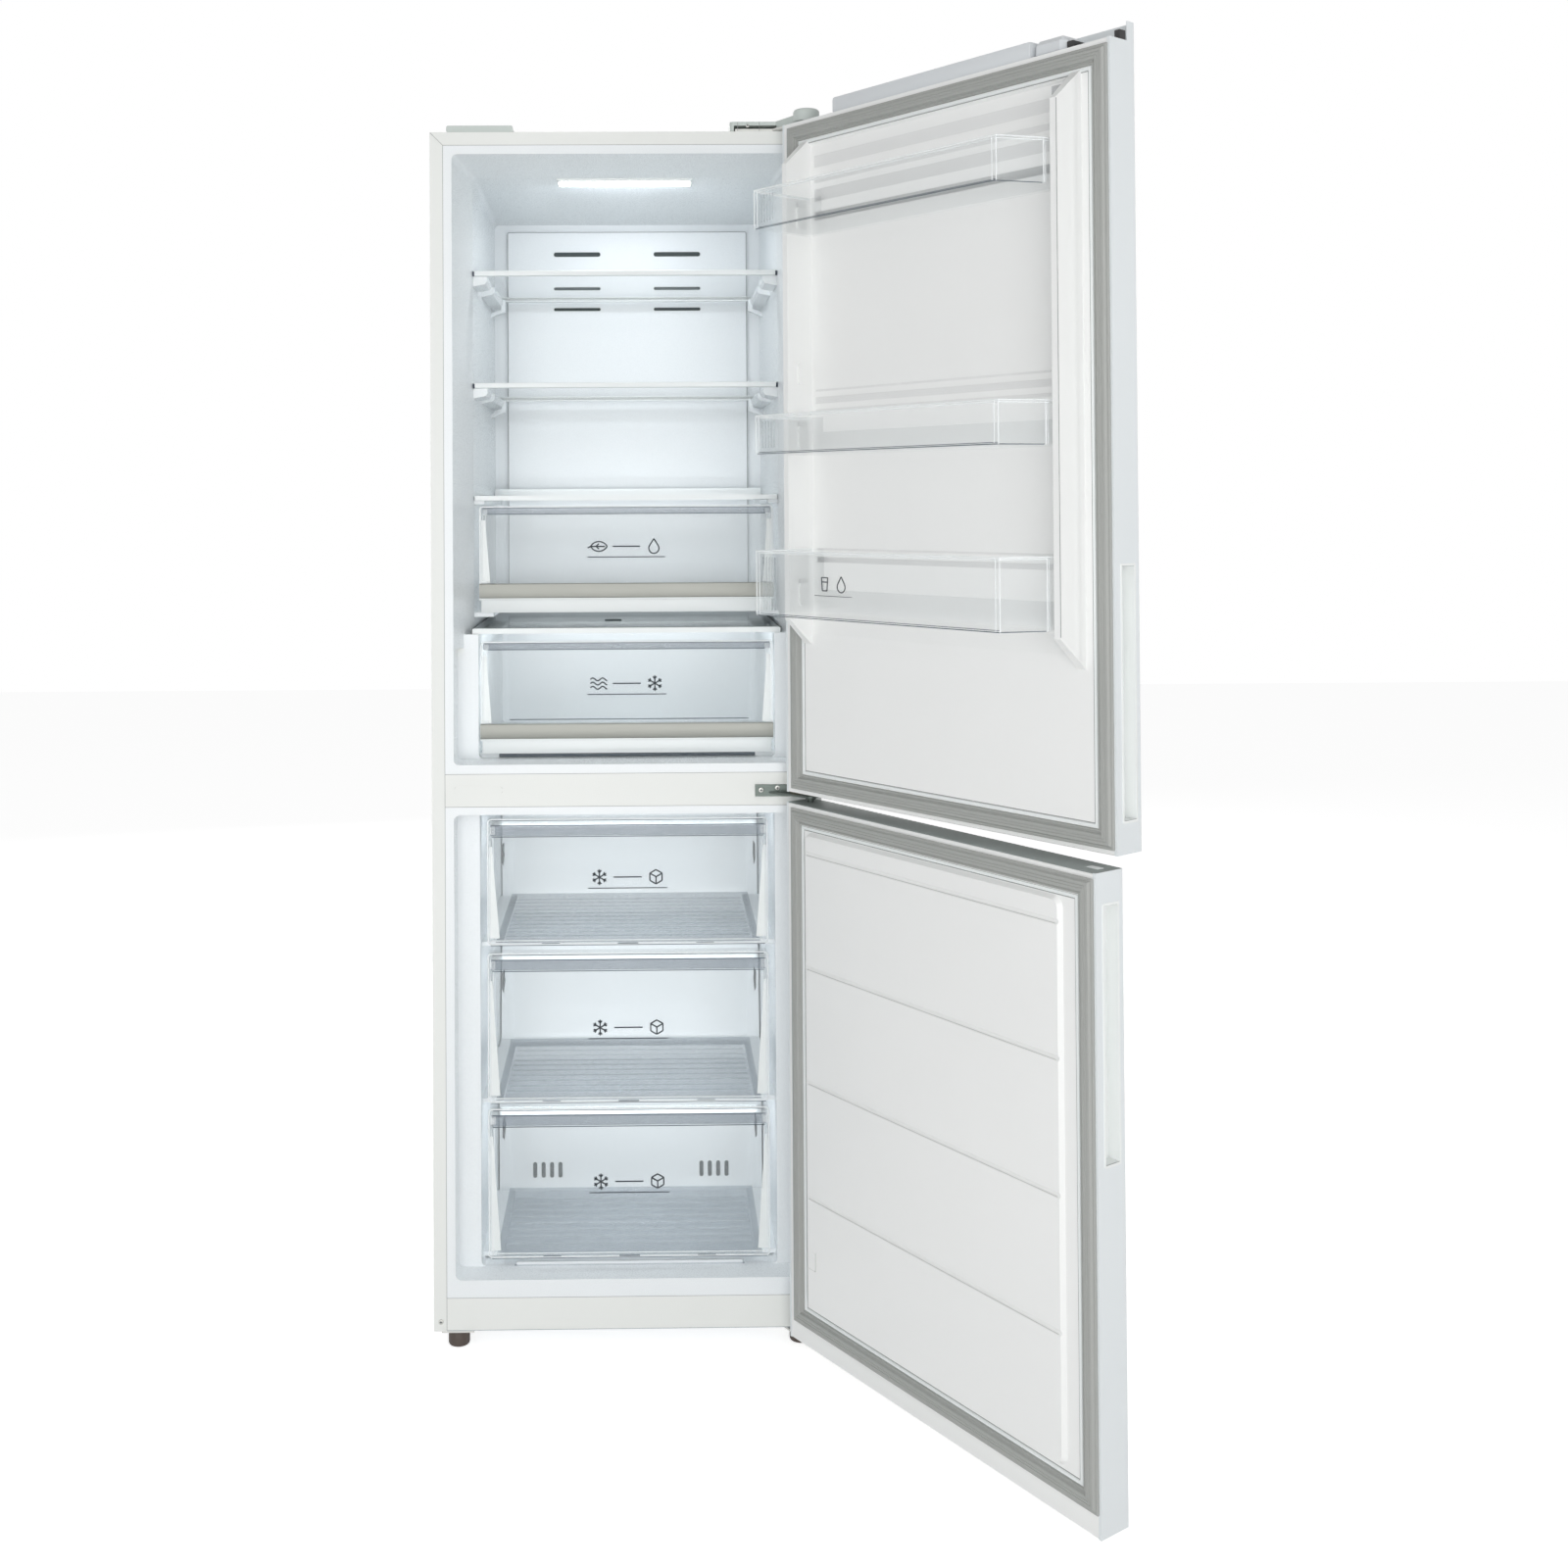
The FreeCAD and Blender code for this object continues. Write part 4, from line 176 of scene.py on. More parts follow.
# screen is the colour as seen on a screen, from 0 to 255
SURFACES = {
    "cabinet_paint": dict(screen=(232, 234, 231), rough=0.42, grain=420.0, bump=0.22, mottle=0.012),
    "door_paint": dict(screen=(226, 231, 233), rough=0.35, grain=420.0, bump=0.15, mottle=0.012),
    "galvanised": dict(screen=(176, 181, 184), rough=0.45, metal=0.7, grain=60.0, bump=0.03, mottle=0.1),
    "liner_white": dict(screen=(236, 240, 242), rough=0.28, grain=900.0, bump=0.03, mottle=0.012),
    "door_liner_white": dict(screen=(240, 241, 240), rough=0.3, grain=900.0, bump=0.03, mottle=0.012),
    "white_trim": dict(screen=(234, 238, 238), rough=0.25, grain=900.0, bump=0.02, mottle=0.01),
    "clear_plastic": dict(screen=(232, 240, 242), rough=0.1, grain=60.0, alpha=0.07, mottle=0.01),
    "clear_rim": dict(screen=(206, 216, 220), rough=0.12, grain=60.0, alpha=0.2, mottle=0.02),
    # painted highlight: near-white translucent edges standing in for light caught by the clear plastic's
    # rims and corners
    "clear_edge": dict(screen=(246, 249, 250), rough=0.1, grain=60.0, bump=0.03, alpha=0.7, mottle=0.02),
    "edge_shade": dict(screen=(92, 104, 114), rough=0.2, grain=60.0, alpha=0.75, mottle=0.03),
    "shelf_glass": dict(screen=(214, 228, 228), rough=0.05, grain=50.0, alpha=0.08, mottle=0.01),
    "grey_white": dict(screen=(216, 220, 223), rough=0.4, grain=700.0, bump=0.06, mottle=0.015),
    "seam_grey": dict(screen=(150, 152, 152), rough=0.6, grain=700.0, bump=0.02, mottle=0.04),
    "print_grey": dict(screen=(36, 42, 48), rough=0.5, grain=900.0, bump=0.02, mottle=0.05),
    "shadow_grey": dict(screen=(70, 78, 78), rough=0.7, grain=500.0, bump=0.05, mottle=0.08),
    "grey_trim": dict(screen=(186, 187, 184), rough=0.5, grain=700.0, bump=0.08, mottle=0.03),
    "gasket_grey": dict(screen=(166, 168, 165), rough=0.6, grain=900.0, bump=0.05, mottle=0.03),
    "brushed_strip": dict(screen=(145, 146, 140), rough=0.42, metal=0.45, grain=900.0, bump=0.05,
                          mottle=0.05, stretch=(0.02, 1, 1)),
    "foam": dict(screen=(226, 205, 150), rough=0.8, grain=200.0, bump=0.3, mottle=0.06),
    "dark_plastic": dict(screen=(38, 37, 38), rough=0.5, grain=700.0, bump=0.08, mottle=0.05),
    "hinge_steel": dict(screen=(214, 214, 210), rough=0.4, metal=0.2, grain=300.0, bump=0.05,
                        mottle=0.02),
    "zinc_steel": dict(screen=(190, 190, 186), rough=0.35, metal=0.85, grain=300.0, bump=0.05,
                       mottle=0.06),
    "compressor_black": dict(screen=(24, 24, 25), rough=0.3, grain=300.0, bump=0.15, mottle=0.05,
                             coat=0.3),
    "copper_tube": dict(screen=(196, 128, 90), rough=0.3, metal=1.0, grain=200.0, bump=0.02, mottle=0.1),
    "aluminium_fins": dict(screen=(200, 202, 204), rough=0.35, metal=0.9, grain=500.0, bump=0.05,
                           mottle=0.04),
    "light_cover": dict(screen=(250, 250, 246), rough=0.3, grain=200.0, mottle=0.005, emit=14.0),
    "zinc_plate": dict(screen=(88, 96, 92), rough=0.4, metal=0.7, grain=90.0, bump=0.25, mottle=0.35),
    "brass_pin": dict(screen=(158, 142, 116), rough=0.35, metal=0.8, grain=200.0, bump=0.05, mottle=0.15),
    # the lower door's top cap under the upper door: partly its grey plastic, partly painted shade
    "cap_grey_and_shade": dict(screen=(148, 156, 154), rough=0.5, grain=700.0, bump=0.08, mottle=0.03),
    "grip_white": dict(screen=(240, 243, 242), rough=0.22, grain=900.0, bump=0.02, mottle=0.01),
    # painted highlight: translucent white for the lit inner faces of the drawers' side walls
    "frost_white": dict(screen=(240, 243, 242), rough=0.2, grain=80.0, bump=0.05, alpha=0.82,
                        mottle=0.02),
    "gap_dark": dict(screen=(44, 54, 72), rough=0.8, grain=300.0, bump=0.05, mottle=0.1),
    "tint_floor": dict(screen=(160, 174, 187), rough=0.2, grain=60.0, alpha=0.3, mottle=0.04),
    "smoked_glass": dict(screen=(74, 88, 90), rough=0.08, grain=50.0, alpha=0.72, mottle=0.03),
    "soft_shade": dict(screen=(142, 146, 152), rough=0.5, grain=60.0, alpha=0.2, mottle=0.03),
    "faint_shade": dict(screen=(142, 146, 152), rough=0.5, grain=60.0, alpha=0.05, mottle=0.03),
    "groove_shade": dict(screen=(204, 206, 203), rough=0.5, grain=700.0, bump=0.02, mottle=0.02),
    "rim_shade": dict(screen=(126, 140, 154), rough=0.2, grain=60.0, alpha=0.34, mottle=0.03),
    # painted shade: near-black for the unlit depths behind the air return slots
    "slot_shade_black": dict(screen=(14, 16, 20), rough=0.9, grain=300.0, bump=0.02, mottle=0.1),
    "cover_grey": dict(screen=(198, 206, 202), rough=0.45, grain=700.0, bump=0.06, mottle=0.02),
    "foot_plastic": dict(screen=(78, 68, 62), rough=0.6, grain=700.0, bump=0.1, mottle=0.08),
}
MATERIALS = {name: surface(name, **values) for name, values in SURFACES.items()}
# see-through finishes, which cast no shadow
CLEAR = ("clear_plastic", "clear_rim", "clear_edge", "shelf_glass", "frost_white", "tint_floor",
         "smoked_glass", "soft_shade", "faint_shade", "rim_shade")
# CAD nodes whose finish differs from that of their slot
FINISHES = {
    "middle_hinge": "zinc_plate",
    # darker top cap: partly grey plastic, partly painted shade
    "lower_door_top_cap": "cap_grey_and_shade",
    "upper_door_grip": "grip_white",
    "lower_door_grip": "grip_white",
    "hinge_covers": "cover_grey",
    "light_diffuser": "white_trim",
}


def dress_cad():
    slots = {row["node"]: row["material_slot"] for row in frame["record"]["subparts"]}
    for name, obj in frame["nodes"].items():
        mat = MATERIALS[FINISHES.get(name, slots[name])]
        obj.data.materials.clear()
        obj.data.materials.append(mat)
        obj.visible_shadow = slots[name] not in CLEAR


# ---- mesh tools, in millimetres with the doors shut -------------------------------------------------
def door_turn(door):
    angle = OPEN_ANGLES.get(door, 0.0)
    return Matrix.Translation(PIVOT) @ Matrix.Rotation(angle, 4, "Z") @ Matrix.Translation(-PIVOT)


def piece(name, bm, mat, body, door=None, stands_for=(), crease=35.0):
    """Turns a mesh under construction into a piece that rides on a CAD body."""
    bmesh.ops.recalc_face_normals(bm, faces=bm.faces)
    bm.transform(Matrix.Scale(MM, 4) @ door_turn(door))
    mesh = bpy.data.meshes.new(name)
    bm.to_mesh(mesh)
    bm.free()
    mesh.materials.append(MATERIALS[mat])
    mesh.polygons.foreach_set("use_smooth", [True] * len(mesh.polygons))
    mesh.set_sharp_from_angle(angle=math.radians(crease))
    obj = bpy.data.objects.new(name, mesh)
    obj.visible_shadow = mat not in CLEAR
    bpy.context.scene.collection.objects.link(obj)
    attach(obj, body)
    if stands_for:
        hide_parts(*stands_for)


def slab(bm, x0, x1, y0, y1, z0, z1, edge=1.0, rounds=2):
    """A block with rounded edges."""
    centre = Vector(((x0 + x1) / 2, (y0 + y1) / 2, (z0 + z1) / 2))
    size = Matrix.Diagonal((x1 - x0, y1 - y0, z1 - z0, 1.0))
    made = bmesh.ops.create_cube(bm, size=1.0, matrix=Matrix.Translation(centre) @ size)
    edges = list({e for v in made["verts"] for e in v.link_edges})
    bmesh.ops.bevel(bm, geom=edges, offset=edge, segments=rounds, profile=0.6, affect="EDGES",
                    clamp_overlap=True)


def skin(bm, rings, close_rings=False, close_row=False, caps=False):
    """Faces between rows of points. Each row has the same number of points."""
    rows = [[bm.verts.new(p) for p in ring] for ring in rings]
    pairs = list(zip(rows, rows[1:])) + ([(rows[-1], rows[0])] if close_rings else [])
    for a, b in pairs:
        count = len(a) if close_row else len(a) - 1
        for i in range(count):
            j = (i + 1) % len(a)
            bm.faces.new((a[i], a[j], b[j], b[i]))
    if caps:
        bm.faces.new(rows[0])
        bm.faces.new(list(reversed(rows[-1])))


def extrude_x(bm, outline, x0, x1):
    """A closed (y, z) outline drawn out along X."""
    rings = [[(x, y, z) for y, z in outline] for x in (x0, x1)]
    skin(bm, rings, close_row=True, caps=True)


def tube(bm, points, radius, sides=8):
    """A round bar along a broken line."""
    points = [Vector(p) for p in points]
    rings = []
    for i, point in enumerate(points):
        before = (point - points[i - 1]).normalized() if i else (points[1] - point).normalized()
        after = (points[i + 1] - point).normalized() if i + 1 < len(points) else before
        along = (before + after).normalized()
        side = side - along * side.dot(along) if rings else along.orthogonal()
        side.normalize()
        up = along.cross(side)
        stretch = 1.0 / max(0.4, along.dot(before))
        steps = [math.tau * k / sides for k in range(sides)]
        rings.append([point + (side * math.cos(a) + up * math.sin(a)) * radius * stretch for a in steps])
    skin(bm, rings, close_row=True, caps=True)


def rounded_path(x0, x1, z0, z1, radius, steps=5):
    """Points and inward directions round a rounded rectangle."""
    corners = ((x1 - radius, z1 - radius, 0), (x0 + radius, z1 - radius, 90),
               (x0 + radius, z0 + radius, 180), (x1 - radius, z0 + radius, 270))
    path = []
    for cx, cz, start in corners:
        for k in range(steps + 1):
            a = math.radians(start + 90.0 * k / steps)
            c, w = math.cos(a), math.sin(a)
            path.append((cx + radius * c, cz + radius * w, -c, -w))
    return path


def round_frame(bm, x0, x1, z0, z1, radius, profile, steps=5):
    """A closed (inset, y) profile carried round a rounded rectangle."""
    rings = [[(px + nx * t, y, pz + nz * t) for t, y in profile]
             for px, pz, nx, nz in rounded_path(x0, x1, z0, z1, radius, steps)]
    skin(bm, rings, close_rings=True, close_row=True)


def mitred_frame(bm, x0, x1, z0, z1, profile):
    """An open (inset, y) profile carried round a rectangle with mitred corners."""
    rings = []
    for sx, sz in ((0, 0), (1, 0), (1, 1), (0, 1)):
        rings.append([((x1 - t) if sx else (x0 + t), y, (z1 - t) if sz else (z0 + t)) for t, y in profile])
    skin(bm, rings, close_rings=True)


# ---- doors --------------------------------------------------------------------------------------------
# open profiles: how far in from the frame's outer edge, and y
GASKET_PROFILE = [(1.0, -7.0), (0.6, -4.4), (2.2, -3.6), (4.2, -4.0), (5.4, -2.4), (6.2, -1.0),
                  (7.4, -0.7), (9.4, -0.7), (9.8, -1.4), (10.4, -1.4), (10.8, -0.7), (13.0, -0.7),
                  (13.4, -1.3), (14.0, -1.3), (14.4, -0.7), (17.0, -0.8), (18.0, -1.6), (18.8, -4.2),
                  (20.0, -5.2), (21.4, -4.2), (22.8, -4.4), (23.8, -7.0)]
LIP_PROFILE = [(24.6, -7.0), (25.0, -5.4), (28.6, -5.2), (29.4, -7.0)]
LIP_GROOVE = [(29.5, -7.0), (29.5, -6.7), (30.5, -6.7), (30.5, -7.0)]


def gaskets():
    for door, z0, z1 in GASKET_HEIGHTS:
        bm = bmesh.new()
        mitred_frame(bm, GASKET_FREE, GASKET_HINGE, z0, z1, GASKET_PROFILE)
        body = door + "_door"
        piece(door + "_gasket", bm, "gasket_grey", body, door, [body + "_gasket"], 20.0)


def gasket_lips():
    """White lip inside each gasket, with a fine groove beside it."""
    parts = (("lip", LIP_PROFILE, "white_trim"), ("lip_groove", LIP_GROOVE, "seam_grey"))
    for door, z0, z1 in GASKET_HEIGHTS:
        for name, profile, mat in parts:
            bm = bmesh.new()
            mitred_frame(bm, GASKET_FREE, GASKET_HINGE, z0, z1, profile)
            piece("%s_%s" % (door, name), bm, mat, door + "_door", door)


def lower_top_plug():
    """Oval plug in the lower door's top, in the spare hinge hole."""
    bm = bmesh.new()
    slab(bm, -284.0, -266.0, -38.0, -27.0, 833.4, 834.6, 0.5, 2)
    piece("lower_door_plug", bm, "white_trim", "lower_door", "lower")


def upper_top_cap():
    """The upper door's top cap with its raised block, and painted shade for the recesses beside it."""
    bm = bmesh.new()
    slab(bm, -296.0, 296.0, -56.6, -8.9, 1843.5, 1855.4, 1.0)
    slab(bm, -172.0, 195.0, -56.4, -10.5, 1850.0, 1878.4, 5.0, 2)
    slab(bm, -225.0, -174.0, -56.0, -12.0, 1850.0, 1876.0, 7.0, 1)
    slab(bm, 262.0, 292.0, -56.0, -10.0, 1850.0, 1856.6, 2.0)
    piece("upper_door_cap", bm, "grey_white", "upper_door", "upper", ["upper_door_top_cap"])
    # painted shade: dark blocks standing in the recesses beside the raised block and at the door's ends
    bm = bmesh.new()
    slab(bm, -236.0, -226.0, -50.0, -16.0, 1855.0, 1866.0, 1.0)
    slab(bm, -296.5, -288.0, -41.0, -29.0, 1855.0, 1868.0, 1.0)
    slab(bm, 200.0, 246.0, -50.0, -14.0, 1855.0, 1856.3, 0.4)
    piece("upper_door_cap_recess_shade", bm, "dark_plastic", "upper_door", "upper")


def bin_edges():
    """Painted highlights along the clear door bins' rims and corners, painted shade along their lower
    edges, and finger ribs.
    """
    for name, (floor_z, height, body) in BINS.items():
        top = floor_z + height
        bm = bmesh.new()
        tube(bm, [(x, y, top - 0.6) for x, y in BIN_PATH], 0.85)
        tube(bm, [(x * 0.99, y * 0.975, top - 3.2) for x, y in BIN_PATH], 0.6)
        for x, y in BIN_PATH[1:4]:
            tube(bm, [(x, y, floor_z + 0.8), (x, y, top - 1.0)], 0.8)
        for x, y in ((-204.0, 104.0), (-233.6, 38.0), (231.0, 104.0)):
            tube(bm, [(x, y, floor_z + 1.5), (x, y, top - 1.0)], 0.6)
        piece(name + "_highlight_edges", bm, "clear_edge", body, "upper")
        bm = bmesh.new()
        tube(bm, [(x * 0.988, y - 0.6, floor_z + 0.9) for x, y in BIN_PATH[1:4]], 0.6)
        tube(bm, [(x * 0.985, y - 2.6, floor_z + 3.0) for x, y in BIN_PATH[1:3]], 0.5)
        piece(name + "_shaded_edges", bm, "edge_shade", body, "upper")
        bm = bmesh.new()
        for k in range(5):
            x = 196.0 + k * 6.0
            slab(bm, x, x + 2.6, 103.9, 105.2, floor_z + 9.0, top - 9.0, 0.6, 2)
        piece(name + "_finger_ribs", bm, "clear_rim", body, "upper")


# ---- drawers ------------------------------------------------------------------------------------------
HANDLE_RISE = 23.0                 # lower edge of a handle strip above the drawer's floor
HANDLE_HEIGHT = 23.0
RIB_PITCH = 24.0                   # between the ribs under a freezer drawer's floor


def drawer_outline(bm, half, front, z0, z1, radius, width):
    """Thin raised line round a drawer's front face."""
    profile = [(0.0, front + 0.6), (0.3, front - 0.5), (width - 0.3, front - 0.5), (width, front + 0.6)]
    round_frame(bm, -half, half, z0, z1, radius, profile)


def drawer_knob(bm, side, x, width, y0, y1, z0, z1, edge, rounds):
    """A corner block that reaches outwards from side * x."""
    inner = side * x
    outer = inner + side * width
    slab(bm, min(inner, outer), max(inner, outer), y0, y1, z0, z1, edge, rounds)


def fridge_drawer_looks(body, sizes):
    """Handle strip, white band, bright edges with painted highlights, painted shade lines and band on the
    rim, and side wedges of painted highlight on a fridge drawer.
    """
    half, front, back, bottom, top = sizes
    low = bottom + HANDLE_RISE
    high = low + HANDLE_HEIGHT
    outline = [(front - 0.2, high), (front - 5.2, high), (front - 6.2, low + 21.6),
               (front - 6.8, low + 15.0), (front - 6.4, low + 6.0), (front - 5.2, low + 0.8),
               (front - 4.4, low), (front - 0.2, low)]
    bm = bmesh.new()
    extrude_x(bm, outline, -half, half)
    piece(body + "_handle_strip", bm, "brushed_strip", body, None,
          [body + "_handle"], 25.0)
    bm = bmesh.new()
    slab(bm, -half, half, front - 5.4, front - 0.3, low - 3.2, low - 0.1, 0.8)
    slab(bm, -half + 3.0, half - 3.0, front - 3.0, front - 0.3, bottom + 0.2, low - 3.0, 1.2)
    slab(bm, -half + 3.0, half - 3.0, front - 3.0, front + 30.0, bottom - 0.3, bottom + 1.6, 0.6)
    piece(body + "_white_band", bm, "white_trim", body, None)
    # raised rim and corner blocks, and painted highlight lines, all in highlight white
    bm = bmesh.new()
    drawer_outline(bm, half, front, low + 20.0, top, 5.0, 2.4)
    for side in SIDES:
        x = side * (half - 9.5)
        tube(bm, [(x, front + 5.0, top - 14.0), (x, front + 5.0, high)], 0.8)
        x = side * (half - 5.0)
        tube(bm, [(x, front + 3.0, top - 14.0), (x, front + 3.0, high)], 0.5)
        drawer_knob(bm, side, half - 13.0, 9.0, front + 2.0, front + 14.0, top - 14.0, top - 4.0, 2.5, 3)
        drawer_knob(bm, side, half - 13.0, 11.0, front - 0.6, front + 3.0, high, high + 4.0, 1.2, 2)
    piece(body + "_highlight_edges", bm, "clear_edge", body, None)
    # painted shade lines along the rim and at the floor's back edge
    bm = bmesh.new()
    slab(bm, -half + 12.0, half - 12.0, front - 0.7, front + 0.4, top - 13.4, top - 12.2, 0.3, 1)
    slab(bm, -half + 5.0, half - 5.0, front - 0.7, front + 0.4, top - 3.0, top - 2.0, 0.3, 1)
    tube(bm, [(-half + 16.0, back - 9.0, bottom + 5.0), (half - 16.0, back - 9.0, bottom + 5.0)], 1.0)
    piece(body + "_rim_shade_lines", bm, "edge_shade", body, None)
    # painted shade: a darker band along the rim
    bm = bmesh.new()
    slab(bm, -half + 4.0, half - 4.0, front + 0.8, front + 3.4, top - 12.5, top - 3.0, 0.6, 1)
    piece(body + "_rim_shade_band", bm, "rim_shade", body, None)
    side_wedges(body, half, front + 3.2, low + 24.0, top - 22.0, 6.0, 14.0)


def freezer_drawer_looks(which, sizes):
    """Bright edges with painted highlights, painted shade lines and band on the rim, floor ribs, painted
    shade in the arrow-shaped slots on the sides, and wedges of painted highlight on a freezer drawer.
    """
    half, front, back, bottom, top = sizes
    name = "freezer_" + which
    # raised rim and corner blocks, and painted highlight lines, all in highlight white
    bm = bmesh.new()
    drawer_outline(bm, half, front, bottom, top, 6.0, 2.2)
    slab(bm, -half + 6.0, half - 6.0, front - 0.6, front + 1.0, bottom + 6.2, bottom + 7.6, 0.4, 1)
    for side in SIDES:
        x = side * (half - 8.5)
        tube(bm, [(x, front + 5.0, top - 30.0), (x - side * 2.0, front + 5.0, bottom + 8.0)], 0.7)
        x = side * (half - 4.5)
        tube(bm, [(x, front + 1.0, top - 34.0), (x, front + 1.0, bottom + 8.0)], 0.5)
        drawer_knob(bm, side, half - 12.0, 9.0, front + 1.0, front + 16.0, top - 26.0, top - 12.0, 2.5, 3)
    piece(name + "_highlight_edges", bm, "clear_edge", name, None)
    # painted shade lines along the rim and under the front's bottom edge, and short dark dashes at its
    # foot
    bm = bmesh.new()
    for drop, thick in ((2.4, 1.0), (10.0, 1.3), (27.5, 1.2)):
        slab(bm, -half + 7.0, half - 7.0, front - 0.7, front + 0.4, top - drop - thick, top - drop, 0.3, 1)
    slab(bm, -16.0, 16.0, front - 0.8, front + 0.6, bottom + 1.2, bottom + 3.0, 0.4, 1)
    slab(bm, -half + 5.0, half - 5.0, front + 0.2, front + 3.0, bottom - 1.2, bottom - 0.2, 0.2, 1)
    for side in SIDES:
        x = side * 120.0
        slab(bm, x - 14.0, x + 14.0, front - 0.8, front + 0.6, bottom + 2.0, bottom + 3.0, 0.3, 1)
    piece(name + "_rim_shade_lines", bm, "edge_shade", name, None)
    # painted shade: a darker band along the rim
    bm = bmesh.new()
    slab(bm, -half + 5.0, half - 5.0, front + 1.0, front + 3.6, top - 27.0, top - 10.6, 0.6, 1)
    piece(name + "_rim_shade_band", bm, "rim_shade", name, None)
    bm = bmesh.new()
    for k in range(int((back - front - 60.0) / RIB_PITCH)):
        y = front + 40.0 + k * RIB_PITCH
        slab(bm, -192.0, 192.0, y, y + 5.0, bottom + 2.6, bottom + 4.0, 0.6, 1)
    piece(name + "_ribs", bm, "clear_rim", name, None)
    # painted shade in the arrow-shaped slots of the side walls
    bm = bmesh.new()
    z = top - 86.0
    mark = [(180.0, z + 18.0), (222.0, z + 14.0), (222.0, z - 4.0), (236.0, z - 6.0), (204.0, z - 20.0),
            (180.0, z - 8.0)]
    for side in SIDES:
        x = side * (half - 11.5)
        extrude_x(bm, mark, x - 0.5, x + 0.5)
    piece(name + "_side_slot_shades", bm, "dark_plastic", name, None)
    bm = bmesh.new()
    slab(bm, -half + 12.0, half - 12.0, front + 5.0, back - 8.0, bottom + 2.4, bottom + 3.0, 0.2, 1)
    piece(name + "_floor", bm, "tint_floor", name, None)
    side_wedges(name, half, front + 3.4, bottom + 10.0, top - 44.0, 4.0, 16.0)


def side_wedges(body, half, y, low, high, top_width, low_width):
    """Painted highlights on the inner faces of a drawer's side walls, seen as translucent white wedges
    that widen downwards.
    """
    bm = bmesh.new()
    for side in SIDES:
        outer = side * (half - 2.8)
        outline = [(outer, high), (outer - side * top_width, high),
                   (outer - side * low_width, low), (outer, low)]
        rings = [[(x, depth, z) for x, z in outline] for depth in (y, y + 0.6)]
        skin(bm, rings, close_row=True, caps=True)
    piece(body + "_side_wedges", bm, "frost_white", body, None)


def chiller_floor_shadow():
    """Painted shadow: a dark line on the liner's floor under the chiller drawer."""
    bm = bmesh.new()
    slab(bm, -226.0, 226.0, 78.0, 80.0, 886.4, 892.6, 0.3, 1)
    piece("chiller_floor_shadow", bm, "edge_shade", "cabinet", None)


def drawer_looks():
    fridge_drawer_looks("crisper", CRISPER)
    fridge_drawer_looks("chiller", CHILLER)
    for which, sizes in FREEZER.items():
        freezer_drawer_looks(which, sizes)
    chiller_floor_shadow()


# ---- generic signs on the drawers -----------------------------------------------------------------------
def arc(cx, cz, r, a0, a1, steps=10):
    """Points on an arc from angle a0 to a1, in degrees."""
    turns = [math.radians(a0 + (a1 - a0) * k / steps) for k in range(steps + 1)]
    return [(cx + r * math.cos(a), cz + r * math.sin(a)) for a in turns]


def leaf():
    return [arc(0.0, -7.0, 14.0, 30, 150), arc(0.0, 7.0, 14.0, 210, 330), [(-12.0, 0.0), (9.0, 0.0)],
            [(-4.0, 0.0), (0.0, 4.0)], [(-4.0, 0.0), (0.0, -4.0)], [(-16.5, -2.0), (-12.0, 0.0)]]


def drop():
    return [arc(0.0, -3.0, 7.5, 150, 390, 14) + [(0.0, 11.0), (-6.5, 0.75)]]


def crystal():
    lines = []
    for k in range(6):
        a = math.radians(60.0 * k + 30.0)
        ux, uz = math.cos(a), math.sin(a)
        lines.append([(0.0, 0.0), (11.0 * ux, 11.0 * uz)])
        for turn in (-0.7, 0.7):
            tx, tz = math.cos(a + turn), math.sin(a + turn)
            lines.append([(6.5 * ux, 6.5 * uz), (6.5 * ux + 4.0 * tx, 6.5 * uz + 4.0 * tz)])
    return lines


def cube_sign():
    ring = arc(0.0, 0.0, 10.0, 30, 390, 6)
    return [ring] + [[(0.0, 0.0), (10.0 * math.cos(math.radians(a)), 10.0 * math.sin(math.radians(a)))]
                     for a in (30, 150, 270)]


def waves():
    return [[(-12.0 + 2.0 * k, z + 2.2 * math.sin(k * 0.9)) for k in range(13)] for z in (-6.0, 0.0, 6.0)]


def tumbler():
    return [[(-6.0, 9.0), (-4.5, -9.0), (4.5, -9.0), (6.0, 9.0), (-6.0, 9.0)], [(-5.4, 3.0), (5.4, 3.0)]]


def sign(bm, strokes, cx, cz, y, size=1.0, line=0.8):
    """Strokes of a sign as thin bars in the plane of y."""
    for stroke in strokes:
        for (xa, za), (xb, zb) in zip(stroke, stroke[1:]):
            a = Vector((cx + xa * size, y, cz + za * size))
            b = Vector((cx + xb * size, y, cz + zb * size))
            tube(bm, [a, b], line, 5)


def signs():
    """A pair of signs with two lines on each drawer, and a smaller pair on the bottle bin."""
    cold = (crystal, cube_sign)
    rows = [("crisper", 114.6, 1216.0, (leaf, drop)), ("chiller", 67.6, 1002.0, (waves, crystal)),
            ("freezer_top", 49.6, 703.0, cold), ("freezer_middle", 49.6, 470.0, cold),
            ("freezer_bottom", 49.6, 232.0, cold)]
    for body, y, z, motifs in rows:
        bm = bmesh.new()
        for x, motif in zip((-44.0, 44.0), motifs):
            sign(bm, motif(), x, z, y, 1.1, 1.1)
        tube(bm, [(-22.0, y, z), (22.0, y, z)], 1.1, 6)
        tube(bm, [(-62.0, y, z - 17.0), (62.0, y, z - 17.0)], 0.8, 6)
        piece(body + "_sign", bm, "print_grey", body, None)
    bm = bmesh.new()
    for x, motif in ((96.0, tumbler), (64.0, drop)):
        sign(bm, motif(), x, 1172.0, 104.9, 1.0, 0.8)
    tube(bm, [(44.0, 104.9, 1156.0), (116.0, 104.9, 1156.0)], 0.4, 6)
    piece("bottle_bin_sign", bm, "print_grey", "bottle_bin", "upper")


